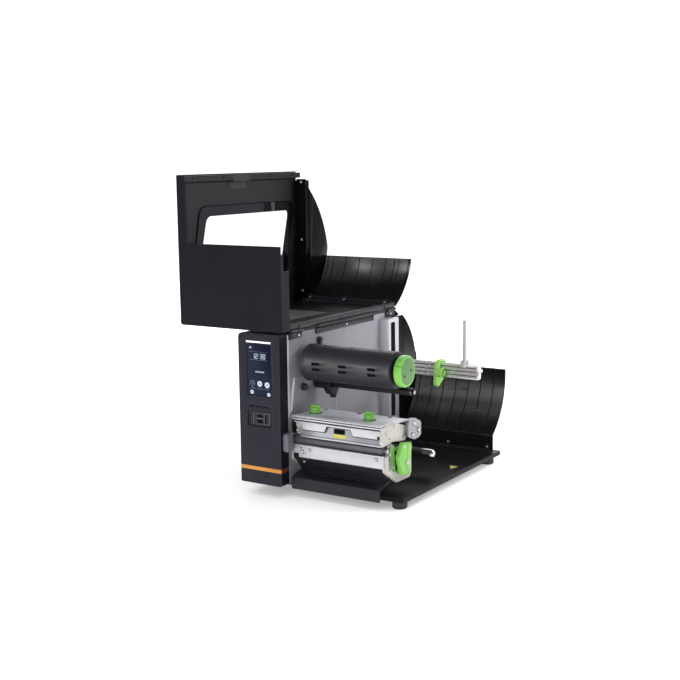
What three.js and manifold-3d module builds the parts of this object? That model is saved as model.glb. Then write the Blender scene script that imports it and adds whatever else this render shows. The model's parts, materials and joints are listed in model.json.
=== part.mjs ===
// Industrial label maker: a 6-inch thermal-transfer label printer with its media cover swung open.
// Millimetres. +Z up, +X from the control column towards the media side, +Y from the front to the back.
// The design frame has X = 0 on the media side of the centre plate, Y = 0 on the front of the control
// column and Z = 0 a little under the table. The finished group is moved so that its origin lies on
// the table under the middle of its bounding box.

import * as THREE from "three";
import { mergeVertices } from "three/addons/utils/BufferGeometryUtils.js";
import Module from "manifold-3d";

const wasm = await Module();
wasm.setup();

// ---------------------------------------------------------------- driving dimensions

const GAP = 0.3;                      // clearance between neighbouring pieces
const SHEET = 1.5;                    // folded steel sheet
const WALL = 2.5;                     // moulded plastic wall

const BASE = { x0: -88, x1: 225, y0: 46, y1: 437, z0: 18, z1: 27 };
const FOOT = { r: 13.5, toe: 12.5, z0: 4.5, inset: 17, insetLeft: 40, insetRear: 26 };
const PLATE = { x0: -3, y0: 25.3, y1: 389.7, z1: 300 };
const HOUSING = { x0: -90, y1: 410, z1: 302, corner: 8 };
const COLUMN = { depth: 25, z0: 26.4 };
const HINGE = { x: 4.5, z: 304, pin: 1.5, knuckle: 3.5 };
const BULGE = { y: 332.5, z: 175.5, r: 146.5 };          // round back that clears a full label roll
const SEAM = { low: 184.5, high: 208.5 };                // edges of the fan-fold slot in the round back
const COVER = { x0: 10, x1: 231, y0: -1, y1: 380, z0: 26, z1: 301.3, frontCut: 150, strip: 19.5 };
const SUPPLY = { y: 367, z: 194.5, x1: 214 };            // label roll spindle
const RIBBON = { y: 79.5, z: 244, r: 33, x0: 14, x1: 198, hub: 4 };   // ribbon spindle
const ROLLER = { y: 117, z: 200.5, r: 7, x1: 208 };      // ribbon guide roller
const GUIDE = { y: 221, z: 63, r: 8, x1: 190 };          // lower media guide bar
const PLATEN = { y: 43, z: 107.5, r: 8.5, x0: 4.5, x1: 188 };
const HEAD = { y0: 31, y1: 130, zFront: 153.5, zBack: 147, x0: 3, x1: 190 };
const TRAY = { x0: 4, x1: 190, y: 26, lip: 40.5, z0: 19 };
const MOTOR = { y: 112, z: 78, body: 56, pulley: 8, platenPulley: 20 };

// Middle of the bounding box with the cover open.
const ORIGIN = {
  x: (BASE.x1 + 2 * HINGE.x - COVER.x1) / 2,
  y: (COVER.y0 + BULGE.y + BULGE.r) / 2,
  z: FOOT.z0,
};

// ---------------------------------------------------------------- finishes

function finish(color, roughness, metalness, extra = {}) {
  return new THREE.MeshStandardMaterial({ color, roughness, metalness, ...extra });
}

const FINISH = {
  black: finish(0x24252b, 0.55, 0.1),
  satinBlack: finish(0x18191c, 0.35, 0.1),
  glossBlack: finish(0x0b0b0d, 0.12, 0.0),
  greyPaint: finish(0x9a9a9f, 0.5, 0.2),
  zinc: finish(0xc9c8cc, 0.35, 0.8),
  casting: finish(0xd4cfc8, 0.5, 0.6),
  chrome: finish(0xe4e2e0, 0.12, 1.0),
  green: finish(0x5fce3a, 0.4, 0.0),
  rubber: finish(0x2a2b2f, 0.85, 0.0),
  footRubber: finish(0x101012, 0.9, 0.0),
  greyPlastic: finish(0x7f828b, 0.5, 0.0),
  orange: finish(0xff7a1c, 0.4, 0.0),
  screen: finish(0x141a33, 0.1, 0.0),
  light: finish(0xf4f6fa, 0.3, 0.0),
  window: finish(0x33333a, 0.05, 0.0, { transparent: true, opacity: 0.35 }),
  board: finish(0x1d5c36, 0.6, 0.0),
  white: finish(0xd9dadb, 0.35, 0.0),
};

// ---------------------------------------------------------------- geometry helpers

// Merges shared corners and drops triangles that have no area.
function weld(geometry) {
  const bare = new THREE.BufferGeometry();
  bare.setAttribute("position", geometry.attributes.position.clone());
  if (geometry.index) bare.setIndex(geometry.index.clone());
  const merged = mergeVertices(bare, 1e-4);
  const source = merged.index.array;
  const kept = [];
  for (let i = 0; i < source.length; i += 3) {
    const [a, b, c] = [source[i], source[i + 1], source[i + 2]];
    if (a !== b && b !== c && c !== a) kept.push(a, b, c);
  }
  merged.setIndex(kept);
  return merged;
}

function toSolid(geometry) {
  const closed = weld(geometry);
  return new wasm.Manifold(new wasm.Mesh({
    numProp: 3,
    vertProperties: Float32Array.from(closed.attributes.position.array),
    triVerts: Uint32Array.from(closed.index.array),
  }));
}

function toGeometry(solid) {
  const mesh = solid.getMesh();
  const geometry = new THREE.BufferGeometry();
  geometry.setAttribute("position", new THREE.BufferAttribute(mesh.vertProperties, 3));
  geometry.setIndex(new THREE.BufferAttribute(mesh.triVerts, 1));
  return geometry;
}

function join(...pieces) {
  return toGeometry(pieces.map(toSolid).reduce((a, b) => a.add(b)));
}

function cut(body, ...tools) {
  return toGeometry(tools.map(toSolid).reduce((a, b) => a.subtract(b), toSolid(body)));
}

function box(x0, x1, y0, y1, z0, z1) {
  const geometry = new THREE.BoxGeometry(x1 - x0, y1 - y0, z1 - z0);
  return geometry.translate((x0 + x1) / 2, (y0 + y1) / 2, (z0 + z1) / 2);
}

function outline(points) {
  return new THREE.Shape(points.map(([a, b]) => new THREE.Vector2(a, b)));
}

function roundedOutline(a0, b0, a1, b1, r) {
  const shape = new THREE.Shape();
  shape.moveTo(a0 + r, b0);
  shape.lineTo(a1 - r, b0);
  shape.absarc(a1 - r, b0 + r, r, -Math.PI / 2, 0, false);
  shape.lineTo(a1, b1 - r);
  shape.absarc(a1 - r, b1 - r, r, 0, Math.PI / 2, false);
  shape.lineTo(a0 + r, b1);
  shape.absarc(a0 + r, b1 - r, r, Math.PI / 2, Math.PI, false);
  shape.lineTo(a0, b0 + r);
  shape.absarc(a0 + r, b0 + r, r, Math.PI, 1.5 * Math.PI, false);
  return shape;
}

function circleOutline(a, b, r, hole = 0) {
  const shape = new THREE.Shape();
  shape.absarc(a, b, r, 0, 2 * Math.PI, false);
  if (hole > 0) {
    const inner = new THREE.Path();
    inner.absarc(a, b, hole, 0, 2 * Math.PI, true);
    shape.holes.push(inner);
  }
  return shape;
}

function extrude(shape, depth, steps) {
  return new THREE.ExtrudeGeometry(shape, { depth, bevelEnabled: false, curveSegments: steps });
}

const AXIS = {
  x: new THREE.Vector3(1, 0, 0),
  y: new THREE.Vector3(0, 1, 0),
  z: new THREE.Vector3(0, 0, 1),
};

// A (y, z) outline carried from x0 to x1.
function alongX(shape, x0, x1, steps = 6) {
  const turn = new THREE.Matrix4().makeBasis(AXIS.y, AXIS.z, AXIS.x);
  return extrude(shape, x1 - x0, steps).applyMatrix4(turn).translate(x0, 0, 0);
}

// An (x, z) outline carried from y0 to y1.
function alongY(shape, y0, y1, steps = 6) {
  const turn = new THREE.Matrix4().makeBasis(AXIS.x, AXIS.z, AXIS.y.clone().negate());
  return extrude(shape, y1 - y0, steps).applyMatrix4(turn).translate(0, y1, 0);
}

// A turned piece: [radius, place] pairs, ordered along the axis, start and end on it.
function turned(profile, segments) {
  const points = profile.map(([r, h]) => new THREE.Vector2(r, h));
  return new THREE.LatheGeometry(points, segments);
}

function turnedX(profile, y, z, segments = 24) {
  const turn = new THREE.Matrix4().makeBasis(AXIS.y, AXIS.x, AXIS.z.clone().negate());
  return turned(profile, segments).applyMatrix4(turn).translate(0, y, z);
}

function turnedZ(profile, x, y, segments = 20) {
  const turn = new THREE.Matrix4().makeBasis(AXIS.x, AXIS.z, AXIS.y.clone().negate());
  return turned(profile, segments).applyMatrix4(turn).translate(x, y, 0);
}

function rodX(y, z, r, x0, x1, segments = 16) {
  return turnedX([[0, x0], [r, x0], [r, x1], [0, x1]], y, z, segments);
}

// ---------------------------------------------------------------- assembly

const printer = new THREE.Group();

function add(name, geometry, material, group = printer) {
  const mesh = new THREE.Mesh(weld(geometry), material);
  mesh.name = name;
  group.add(mesh);
  return mesh;
}

// ---------------------------------------------------------------- base and feet

function basePlate() {
  const tray = box(BASE.x0, BASE.x1, BASE.y0, BASE.y1, BASE.z0, BASE.z1);
  const under = box(
    BASE.x0 + SHEET, BASE.x1 - SHEET, BASE.y0 + SHEET, BASE.y1 - SHEET, BASE.z0 - 1, BASE.z1 - WALL,
  );
  return cut(tray, under);
}

function foot(x, y) {
  const top = BASE.z1 - WALL - GAP;
  const { r, toe, z0 } = FOOT;
  return turnedZ([[0, z0], [toe, z0], [r, z0 + 3], [r, top], [0, top]], x, y, 20);
}

add("base_plate", basePlate(), FINISH.black);
const feet = {
  front_left: [BASE.x0 + FOOT.inset, BASE.y0 + FOOT.insetLeft],
  front_right: [BASE.x1 - FOOT.inset, BASE.y0 + FOOT.inset],
  rear_left: [BASE.x0 + FOOT.inset, BASE.y1 - FOOT.insetRear],
  rear_right: [BASE.x1 - FOOT.inset, BASE.y1 - FOOT.insetRear],
};
for (const [corner, place] of Object.entries(feet)) {
  add(`foot_${corner}`, foot(...place), FINISH.footRubber);
}

// ---------------------------------------------------------------- centre plate and electronics housing

const shaftHole = 7;

function centrePlate() {
  const shape = outline([
    [PLATE.y0, BASE.z1 + GAP], [PLATE.y1, BASE.z1 + GAP], [PLATE.y1, PLATE.z1], [PLATE.y0, PLATE.z1],
  ]);
  const hole = new THREE.Path();
  hole.absarc(PLATEN.y, PLATEN.z, shaftHole, 0, 2 * Math.PI, true);
  shape.holes.push(hole);
  return alongX(shape, PLATE.x0, 0, 10);
}

// Left side and top of the housing as one folded sheet, with two rows of cooling slots.
function housingCover() {
  const { x0, z1, corner } = HOUSING;
  const shape = new THREE.Shape();
  shape.moveTo(x0, BASE.z1 + GAP);
  shape.lineTo(x0, z1 - corner);
  shape.absarc(x0 + corner, z1 - corner, corner, Math.PI, Math.PI / 2, true);
  shape.lineTo(-GAP, z1);
  shape.lineTo(-GAP, z1 - SHEET);
  shape.lineTo(x0 + corner, z1 - SHEET);
  shape.absarc(x0 + corner, z1 - corner, corner - SHEET, Math.PI / 2, Math.PI, false);
  shape.lineTo(x0 + SHEET, BASE.z1 + GAP);
  const slots = [];
  for (const z of [70, 92]) {
    for (let i = 0; i < 7; i += 1) {
      const y = 250 + i * 22;
      slots.push(box(x0 - 1, x0 + SHEET + 1, y, y + 4, z, z + 14));
    }
  }
  return cut(alongY(shape, COLUMN.depth + GAP, HOUSING.y1, 5), ...slots);
}

const REAR = {
  x0: HOUSING.x0 + SHEET + GAP, x1: PLATE.x0 - GAP, y0: HOUSING.y1 - 3, y1: HOUSING.y1 - 1,
};
const INLET = { x0: -76, x1: -26, z0: 40, z1: 70 };
const PORTS = { x0: -78, x1: -20, z0: 130, z1: 215 };

function rearPanel() {
  const zTop = HOUSING.z1 - SHEET - GAP;
  const panel = box(REAR.x0, REAR.x1, REAR.y0, REAR.y1, BASE.z1 + GAP, zTop - 7);
  const fanSlots = [];
  for (let i = 0; i < 6; i += 1) {
    const z = 236 + i * 8;
    fanSlots.push(box(-68, -28, REAR.y0 - 1, REAR.y1 + 1, z, z + 3.5));
  }
  return cut(
    panel,
    box(INLET.x0, INLET.x1, REAR.y0 - 1, REAR.y1 + 1, INLET.z0, INLET.z1),
    box(PORTS.x0, PORTS.x1, REAR.y0 - 1, REAR.y1 + 1, PORTS.z0, PORTS.z1),
    ...fanSlots,
  );
}

// Mains inlet and switch seat in one moulding; the inlet is the standard three-pin socket.
const SWITCH = { x: -36, z: 55, halfX: 6.5, halfZ: 10 };

function powerInlet() {
  const back = HOUSING.y1;
  const body = box(INLET.x0 + GAP, INLET.x1 - GAP, back - 33, back + 1.5, INLET.z0 + GAP, INLET.z1 - GAP);
  const socket = box(-72, -47, back - 16, back + 3, 46.5, 64);
  const { x, z, halfX, halfZ } = SWITCH;
  const seat = box(x - halfX, x + halfX, back - 12, back + 3, z - halfZ, z + halfZ);
  const pins = [[-65, 52.5], [-54, 52.5], [-59.5, 58.5]].map(
    ([px, pz]) => box(px - 1, px + 1, back - 17, back - 3, pz - 2, pz + 2),
  );
  return join(cut(body, socket, seat), ...pins);
}

// Rocker with its upper half proud.
function powerSwitch() {
  const back = HOUSING.y1;
  const { x, z, halfX } = SWITCH;
  const shape = outline([
    [back - 9, z - 6], [back - 0.5, z - 8.5], [back + 0.2, z], [back + 2.5, z + 7], [back - 9, z + 6],
  ]);
  return alongX(shape, x - halfX + 0.8, x + halfX - 0.8);
}

// Serial, network and USB sockets in one shielded block.
function portBlock() {
  const back = HOUSING.y1;
  const body = box(PORTS.x0 + GAP, PORTS.x1 - GAP, back - 19, back + 0.5, PORTS.z0 + GAP, PORTS.z1 - GAP);
  const sockets = [
    box(-66, -32, back - 7, back + 3, 139, 149),
    box(-68, -52, back - 11, back + 3, 162, 176),
    box(-44, -30, back - 11, back + 3, 163, 175),
    box(-68, -53, back - 11, back + 3, 190, 196),
    box(-45, -30, back - 11, back + 3, 190, 196),
  ];
  return cut(body, ...sockets);
}

add("center_plate", centrePlate(), FINISH.greyPaint);
add("housing_cover", housingCover(), FINISH.black);
add("rear_panel", rearPanel(), FINISH.black);
add("power_inlet", powerInlet(), FINISH.satinBlack);
add("power_switch", powerSwitch(), FINISH.glossBlack);
add("port_block", portBlock(), FINISH.zinc);

// ---------------------------------------------------------------- control column

const DISPLAY = { x0: -71, x1: -18, z0: 189.5, z1: 282 };
const LAMP = { x0: -72.5, x1: -18, z0: 285, z1: 288.4 };
const BAY = { x0: -71, x1: -20, z0: 133.5, z1: 160 };
const STRIP = { z0: 51, z1: 58.5, deep: 1.2 };

function frontColumn() {
  const { x0, z1, corner } = HOUSING;
  const front = new THREE.Shape();
  front.moveTo(x0 + 3, COLUMN.z0);
  front.lineTo(-3, COLUMN.z0);
  front.absarc(-3, COLUMN.z0 + 3, 3, -Math.PI / 2, 0, false);
  front.lineTo(0, z1 - 3);
  front.absarc(-3, z1 - 3, 3, 0, Math.PI / 2, false);
  front.lineTo(x0 + corner, z1);
  front.absarc(x0 + corner, z1 - corner, corner, Math.PI / 2, Math.PI, false);
  front.lineTo(x0, COLUMN.z0 + 3);
  front.absarc(x0 + 3, COLUMN.z0 + 3, 3, Math.PI, 1.5 * Math.PI, false);
  const block = alongY(front, 0, COLUMN.depth, 4);
  const inside = box(
    x0 + WALL, -WALL, 5, COLUMN.depth + 1, COLUMN.z0 + WALL, z1 - WALL - corner / 2,
  );
  const band = cut(
    box(x0 - 1, 1, -1, COLUMN.depth + 1, STRIP.z0, STRIP.z1),
    box(x0 + STRIP.deep, -STRIP.deep, STRIP.deep, COLUMN.depth + 2, STRIP.z0 - 1, STRIP.z1 + 1),
  );
  const edge = 2;
  return cut(
    block,
    inside,
    band,
    box(DISPLAY.x0, DISPLAY.x1, -1, 2, DISPLAY.z0, DISPLAY.z1),
    box(LAMP.x0, LAMP.x1, -1, 2, LAMP.z0, LAMP.z1),
    box(BAY.x0, BAY.x1, -1, 6, BAY.z0, BAY.z1),
    box(BAY.x0, BAY.x1, -1, 1.2, 168, 171),
    box(-3 - edge, -3, -1, 0.4, COLUMN.z0 - 1, z1 + 1),
  );
}

function accentStrip() {
  const { x0 } = HOUSING;
  const outer = box(x0 + 0.1, -0.1, 0.1, COLUMN.depth - 0.1, STRIP.z0 + GAP, STRIP.z1 - GAP);
  const inner = box(
    x0 + STRIP.deep - GAP, -STRIP.deep + GAP, STRIP.deep - GAP, COLUMN.depth + 1, STRIP.z0, STRIP.z1,
  );
  return cut(outer, inner);
}

function plateIn(frame, y0, y1) {
  return box(frame.x0 + GAP, frame.x1 - GAP, y0, y1, frame.z0 + GAP, frame.z1 - GAP);
}

// Socket bay: a shallow tray with two upright host sockets and a divider.
function usbBay() {
  const tray = plateIn(BAY, 1.5, 14);
  return cut(
    tray,
    box(BAY.x0 + 2, BAY.x0 + 5, 1, 4, BAY.z0 + 2, BAY.z1 - 2),
    box(BAY.x0 + 9, BAY.x0 + 15, 1, 4, BAY.z0 + 2, BAY.z1 - 2),
    box(BAY.x0 + 19, BAY.x0 + 33, 1, 10, BAY.z0 + 6, BAY.z0 + 12),
    box(BAY.x0 + 19, BAY.x0 + 33, 1, 10, BAY.z0 + 15, BAY.z0 + 21),
    box(BAY.x0 + 36, BAY.x1 - 2, 1, 5, BAY.z0 + 2, BAY.z1 - 2),
  );
}

add("front_column", frontColumn(), FINISH.black);
add("accent_strip", accentStrip(), FINISH.orange);
add("display_panel", plateIn(DISPLAY, 0.4, 1.7), FINISH.screen);
add("status_light", plateIn(LAMP, 0.2, 1.7), FINISH.light);
add("usb_bay", usbBay(), FINISH.satinBlack);

// ---------------------------------------------------------------- electronics and drive in the housing

add("main_board", box(-82, -80, 150, 385, 60, 260), FINISH.board);
add("power_supply", box(-70, -12, 215, 345, 30, 110), FINISH.zinc);

function stepperMotor() {
  const half = MOTOR.body / 2;
  const body = box(-76, -34, MOTOR.y - half, MOTOR.y + half, MOTOR.z - half, MOTOR.z + half);
  return join(body, rodX(MOTOR.y, MOTOR.z, 2.5, -35, -12, 12));
}

const BELT = { x0: -26, x1: -18 };

function pulley(y, z, r, bore) {
  const rim = [[bore, BELT.x0], [r, BELT.x0], [r, BELT.x1], [bore, BELT.x1], [bore, BELT.x0]];
  return turnedX(rim, y, z, 24);
}

// Outer contour of two circles joined by their common tangents, as a (y, z) outline.
function beltLoop(rPlaten, rMotor) {
  const dy = MOTOR.y - PLATEN.y;
  const dz = MOTOR.z - PLATEN.z;
  const along = Math.atan2(dz, dy);
  const spread = Math.acos((rPlaten - rMotor) / Math.hypot(dy, dz));
  const shape = new THREE.Shape();
  shape.absarc(PLATEN.y, PLATEN.z, rPlaten, along + spread, along - spread + 2 * Math.PI, false);
  shape.absarc(MOTOR.y, MOTOR.z, rMotor, along - spread, along + spread, false);
  return shape;
}

function driveBelt() {
  const thick = 1.6;
  const outer = beltLoop(MOTOR.platenPulley + GAP + thick, MOTOR.pulley + GAP + thick);
  const inner = beltLoop(MOTOR.platenPulley + GAP, MOTOR.pulley + GAP);
  outer.holes.push(new THREE.Path(inner.getPoints(10).reverse()));
  return alongX(outer, BELT.x0 + 0.5, BELT.x1 - 0.5, 10);
}

add("drive_motor", stepperMotor(), FINISH.satinBlack);
add("motor_pulley", pulley(MOTOR.y, MOTOR.z, MOTOR.pulley, 2.5 + GAP), FINISH.chrome);
add("drive_belt", driveBelt(), FINISH.rubber);

// ---------------------------------------------------------------- round back

// Angle on the back's circle at height z, measured from +Y towards +Z.
function bulgeAngle(z, r = BULGE.r) {
  return Math.asin((z - BULGE.z) / r);
}

function bulgeArc(shape, r, zFrom, zTo) {
  const a0 = bulgeAngle(zFrom, r);
  const a1 = bulgeAngle(zTo, r);
  shape.absarc(BULGE.y, BULGE.z, r, a0, a1, a1 < a0);
}

const WALL_FOOT = { y: 420, z: 60 };      // inside of the lower rear shell's upright foot

const LAND = { x1: 12, z1: 289.5 };       // raised face of the inner wall, level with the closed cover's edge

// D-shaped wall behind the centre plate. Its raised face is slimmer where the cover's shell closes over it.
function innerRearWall() {
  const outline = (upperRadius, top) => {
    const shape = new THREE.Shape();
    shape.moveTo(PLATE.y1 + GAP, BASE.z1 + GAP);
    shape.lineTo(WALL_FOOT.y + WALL, BASE.z1 + GAP);
    shape.lineTo(WALL_FOOT.y + WALL, WALL_FOOT.z - 1);
    bulgeArc(shape, BULGE.r, WALL_FOOT.z, SEAM.high - 3);
    bulgeArc(shape, upperRadius, SEAM.high - 3, top);
    shape.lineTo(PLATE.y1 + GAP, top);
    return shape;
  };
  const land = outline(BULGE.r - WALL - 0.4, LAND.z1);
  return join(alongX(outline(BULGE.r, PLATE.z1), PLATE.x0, 0, 14), alongX(land, -1, LAND.x1, 14));
}

function lowerRearShell() {
  const shape = new THREE.Shape();
  shape.moveTo(WALL_FOOT.y, BASE.z1 + GAP);
  shape.lineTo(WALL_FOOT.y + WALL, BASE.z1 + GAP);
  shape.lineTo(WALL_FOOT.y + WALL, WALL_FOOT.z - 1);
  bulgeArc(shape, BULGE.r, WALL_FOOT.z, SEAM.low);
  bulgeArc(shape, BULGE.r - WALL, SEAM.low, WALL_FOOT.z);
  shape.lineTo(WALL_FOOT.y, WALL_FOOT.z - 1);
  const ribs = [];
  for (let x = 23; x < 210; x += 28) {
    const rib = new THREE.Shape();
    bulgeArc(rib, BULGE.r - WALL + 0.4, WALL_FOOT.z + 12, SEAM.low - 8);
    bulgeArc(rib, BULGE.r - WALL - 1.4, SEAM.low - 8, WALL_FOOT.z + 12);
    ribs.push(alongX(rib, x, x + 1.6, 10));
  }
  return join(alongX(shape, LAND.x1 + GAP, 216, 14), ...ribs);
}

add("inner_rear_wall", innerRearWall(), FINISH.glossBlack);
add("lower_rear_shell", lowerRearShell(), FINISH.glossBlack);

// ---------------------------------------------------------------- label supply

const BRACKET = { y0: 347, y1: 387, depth: 21, z0: 80, z1: 289 };
const RAIL = { y: SUPPLY.y, halfZ: 15 };
const STOP = { x: 180, r: 3.5, foot: 4.5, top: 296 };
const stopPivotZ = SUPPLY.z + RAIL.halfZ + STOP.foot + GAP;

// Upright channel on the centre plate; its long slot holds the spindle.
function spindleBracket() {
  const shape = roundedOutline(BRACKET.y0, BRACKET.z0, BRACKET.y1, BRACKET.z1, 2);
  const slot = roundedOutline(BRACKET.y0 + 9, BRACKET.z0 + 7, BRACKET.y1 - 14, BRACKET.z1 - 7, 1.5);
  return cut(alongX(shape, GAP, BRACKET.depth, 4), alongX(slot, BRACKET.depth - 7, BRACKET.depth + 1, 3));
}

// Ribbed flat spindle: four rods on a web, with a pair of end studs.
function supplySpindle() {
  const x0 = BRACKET.depth + GAP;
  const bars = [-11.4, -3.8, 3.8, 11.4].map((dz) => rodX(RAIL.y, SUPPLY.z + dz, 3.6, x0, SUPPLY.x1 - 6, 14));
  const web = box(x0, SUPPLY.x1 - 6, RAIL.y - 1, RAIL.y + 6, SUPPLY.z - 12, SUPPLY.z + 12);
  const capOutline = roundedOutline(RAIL.y - 4, SUPPLY.z - 13.5, RAIL.y + 9, SUPPLY.z + 13.5, 4.5);
  const cap = alongX(capOutline, SUPPLY.x1 - 8, SUPPLY.x1 - 3, 4);
  const studs = [
    rodX(RAIL.y - 1, SUPPLY.z - 2, 3.6, SUPPLY.x1 - 4, SUPPLY.x1, 12),
    rodX(RAIL.y + 7, SUPPLY.z + 3, 3.2, SUPPLY.x1 - 4, SUPPLY.x1, 12),
  ];
  const ears = [-7.5, 7.5].map((dy) => box(
    STOP.x - 5, STOP.x + 5, RAIL.y + dy - 1.2, RAIL.y + dy + 1.2, SUPPLY.z + 10, stopPivotZ + 3,
  ));
  const seat = box(STOP.x - 5, STOP.x + 5, RAIL.y - 8.7, RAIL.y + 8.7, SUPPLY.z + 9, SUPPLY.z + 13.5);
  return join(...bars, web, cap, ...studs, seat, ...ears);
}

const GUARD = { x0: 122, x1: 144 };

// Roll guard: a plate that slides on the spindle, with an ear hanging down and a locking knob in front.
function rollGuard() {
  const plate = new THREE.Shape();
  plate.absarc(RAIL.y + 2, SUPPLY.z, 20.5, -0.6, Math.PI * 0.95, false);
  plate.lineTo(RAIL.y - 20, SUPPLY.z - 24);
  plate.absarc(RAIL.y - 13, SUPPLY.z - 25, 7, Math.PI, 1.75 * Math.PI, false);
  const reach = RAIL.halfZ + 0.6;
  const window = box(
    GUARD.x0 - 1, GUARD.x1 + 1, RAIL.y - 4.6, RAIL.y + 12.5, SUPPLY.z - reach, SUPPLY.z + reach,
  );
  const { x0, x1 } = GUARD;
  const knob = turnedX([
    [0, x0 + 3], [9, x0 + 3], [9, x1 - 5], [11, x1 - 4], [11, x1 - 1], [10, x1], [5, x1], [5, x1 - 1],
    [0, x1 - 1],
  ], RAIL.y - 16, SUPPLY.z - 4, 24);
  return join(cut(alongX(plate, x0, x0 + 8, 10), window), knob);
}

// Roll stop: a pale rod whose round foot turns in the clevis on top of the spindle.
function rollStopRod() {
  const { x, r, top } = STOP;
  const pivot = alongY(circleOutline(x, stopPivotZ, STOP.foot), RAIL.y - 5.8, RAIL.y + 5.8, 8);
  const profile = [[0, stopPivotZ], [r, stopPivotZ], [r, top - 1], [r - 1, top], [0, top]];
  const rod = turnedZ(profile, x, RAIL.y, 14);
  return join(pivot, rod);
}

add("spindle_bracket", spindleBracket(), FINISH.zinc);
add("supply_spindle", supplySpindle(), FINISH.chrome);
add("roll_guard", rollGuard(), FINISH.green);
add("roll_stop_rod", rollStopRod(), FINISH.white);

// ---------------------------------------------------------------- ribbon system

function ribbonSpindle() {
  const { y, z, r, x0, x1 } = RIBBON;
  const body = turnedX([
    [0, GAP], [14, GAP], [14, x0], [r + 1, x0], [r + 1, x0 + 5], [r, x0 + 6], [r, x1 - 3], [r - 2, x1],
    [20, x1], [20, x1 + RIBBON.hub], [0, x1 + RIBBON.hub],
  ], y, z, 36);
  const pockets = [];
  for (const x of [37, 93, 153]) {
    for (const dz of [-7, 3]) {
      pockets.push(box(x, x + 16, y - r - 5, y - r + 8, z - 2 + dz, z + 3 + dz));
    }
    pockets.push(box(x + 6, x + 12, y - 4, y + 4, z + r - 3, z + r + 4));
  }
  return cut(body, ...pockets);
}

function ribbonKnob() {
  const { y, z, x1, hub } = RIBBON;
  const x0 = x1 + hub + GAP;
  const profile = [[0, x0], [27, x0], [28, x0 + 2], [28, x0 + 11], [26.5, x0 + 13], [0, x0 + 13]];
  const body = turnedX(profile, y, z, 32);
  const holes = [-11, 11].map((dy) => rodX(y + dy, z - 3 + dy * 0.35, 2.4, x0 + 9, x0 + 15, 10));
  const grooves = [0, 1, 2].map((i) => {
    const angle = (i * 2 * Math.PI) / 3 + 2.6;
    const [dy, dz] = [28 * Math.cos(angle), 28 * Math.sin(angle)];
    return rodX(y + dy, z + dz, 3.5, x0 + 3, x0 + 15, 10);
  });
  return cut(body, ...holes, ...grooves);
}

const FUNNEL = { x0: 24, x1: 37 };

// Boss on the centre plate that carries the guide roller, with a pointed ribbon tongue under it.
function rollerBracket() {
  const { y, z } = ROLLER;
  const boss = rodX(y, z, 11, GAP, FUNNEL.x1, 18);
  const tongue = outline([
    [y - 13, z + 8], [y - 13, z - 8], [y - 4, z - 20], [y + 6, z - 23], [y + 9, z - 29],
    [y + 12, z - 23], [y + 19, z - 14], [y + 19, z + 8],
  ]);
  const bearing = rodX(y, z, ROLLER.r + 1, FUNNEL.x1 - 8, FUNNEL.x1 + 1, 16);
  return cut(join(boss, alongX(tongue, FUNNEL.x0, FUNNEL.x1)), bearing);
}

function ribbonRoller() {
  const { y, z, r, x1 } = ROLLER;
  const x0 = FUNNEL.x1 - 7;
  return turnedX([
    [0, x0], [r, x0], [r, x1 - 6], [r - 1.5, x1 - 6], [r - 1.5, x1 - 1], [r - 2.5, x1], [0, x1],
  ], y, z, 18);
}

add("ribbon_spindle", ribbonSpindle(), FINISH.satinBlack);
add("ribbon_knob", ribbonKnob(), FINISH.green);
add("ribbon_roller_bracket", rollerBracket(), FINISH.satinBlack);
add("ribbon_roller", ribbonRoller(), FINISH.satinBlack);

// ---------------------------------------------------------------- lower print mechanism

const FRAME = { left0: 0.3, left1: 3.5, right0: 190, right1: 197, y0: 33, y1: 124 };
const LEVER = { y: 90, z: 80, x0: 199, x1: 208 };

// Die-cast side frames: an upright cheek on the centre plate, and the free one on the media side.
function frameCheek(x0, x1) {
  const shape = outline([
    [FRAME.y0, 72], [72, 46], [118, 46], [FRAME.y1, 54], [FRAME.y1, 108], [78, 108], [60, 104],
    [FRAME.y0 - 1, 98],
  ]);
  return alongX(shape, x0, x1);
}

function frameLeft() {
  return cut(frameCheek(FRAME.left0, FRAME.left1), rodX(PLATEN.y, PLATEN.z, shaftHole, -1, 5, 16));
}

// The media-side frame also holds the latch post, the lever's pin and the cross bar.
function frameRight() {
  const cheek = frameCheek(FRAME.right0 + 1, FRAME.right1);
  const post = alongX(outline([
    [42, 66], [76, 63], [77, 96], [60, 117], [49, 117], [41, 95],
  ]), FRAME.right0 + 1, FRAME.right1 - 2);
  const pin = turnedX([
    [0, FRAME.right1 - 1], [3, FRAME.right1 - 1], [3, LEVER.x1 + GAP], [5, LEVER.x1 + GAP], [5, LEVER.x1 + 2],
    [0, LEVER.x1 + 2],
  ], LEVER.y, LEVER.z, 14);
  const crossBar = box(FRAME.left1 + GAP, FRAME.right0 + 2, 84, 116, 50, 62);
  return cut(join(cheek, post, pin, crossBar), rodX(PLATEN.y, PLATEN.z, shaftHole - 1, 180, 200, 16));
}

function lowerFrontPlate() {
  const plate = box(FRAME.left1 + GAP + 15, FRAME.right0 + 5, 29, 31, 79, 101.5);
  const lug = box(FRAME.left1 + GAP, 20, 29, 31, 86, 101.5);
  return join(plate, lug);
}

// Black sheet behind and below the front plate, bent forward into the delivery tray and its lip.
function mediaTray() {
  const t = SHEET;
  const shape = outline([
    [TRAY.y, TRAY.z0], [TRAY.y + t, TRAY.z0], [TRAY.y + t, TRAY.lip - 1], [62, 47.5], [36, 77], [36, 84],
    [34.4, 84], [34.4, 76.5], [57, 50], [TRAY.y, TRAY.lip],
  ]);
  const holes = [];
  for (let x = 34; x < 176; x += 24) {
    holes.push(box(x, x + 7, 43, 46, 35, 60));
  }
  return cut(alongX(shape, TRAY.x0, TRAY.x1 - 1), ...holes);
}

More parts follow.
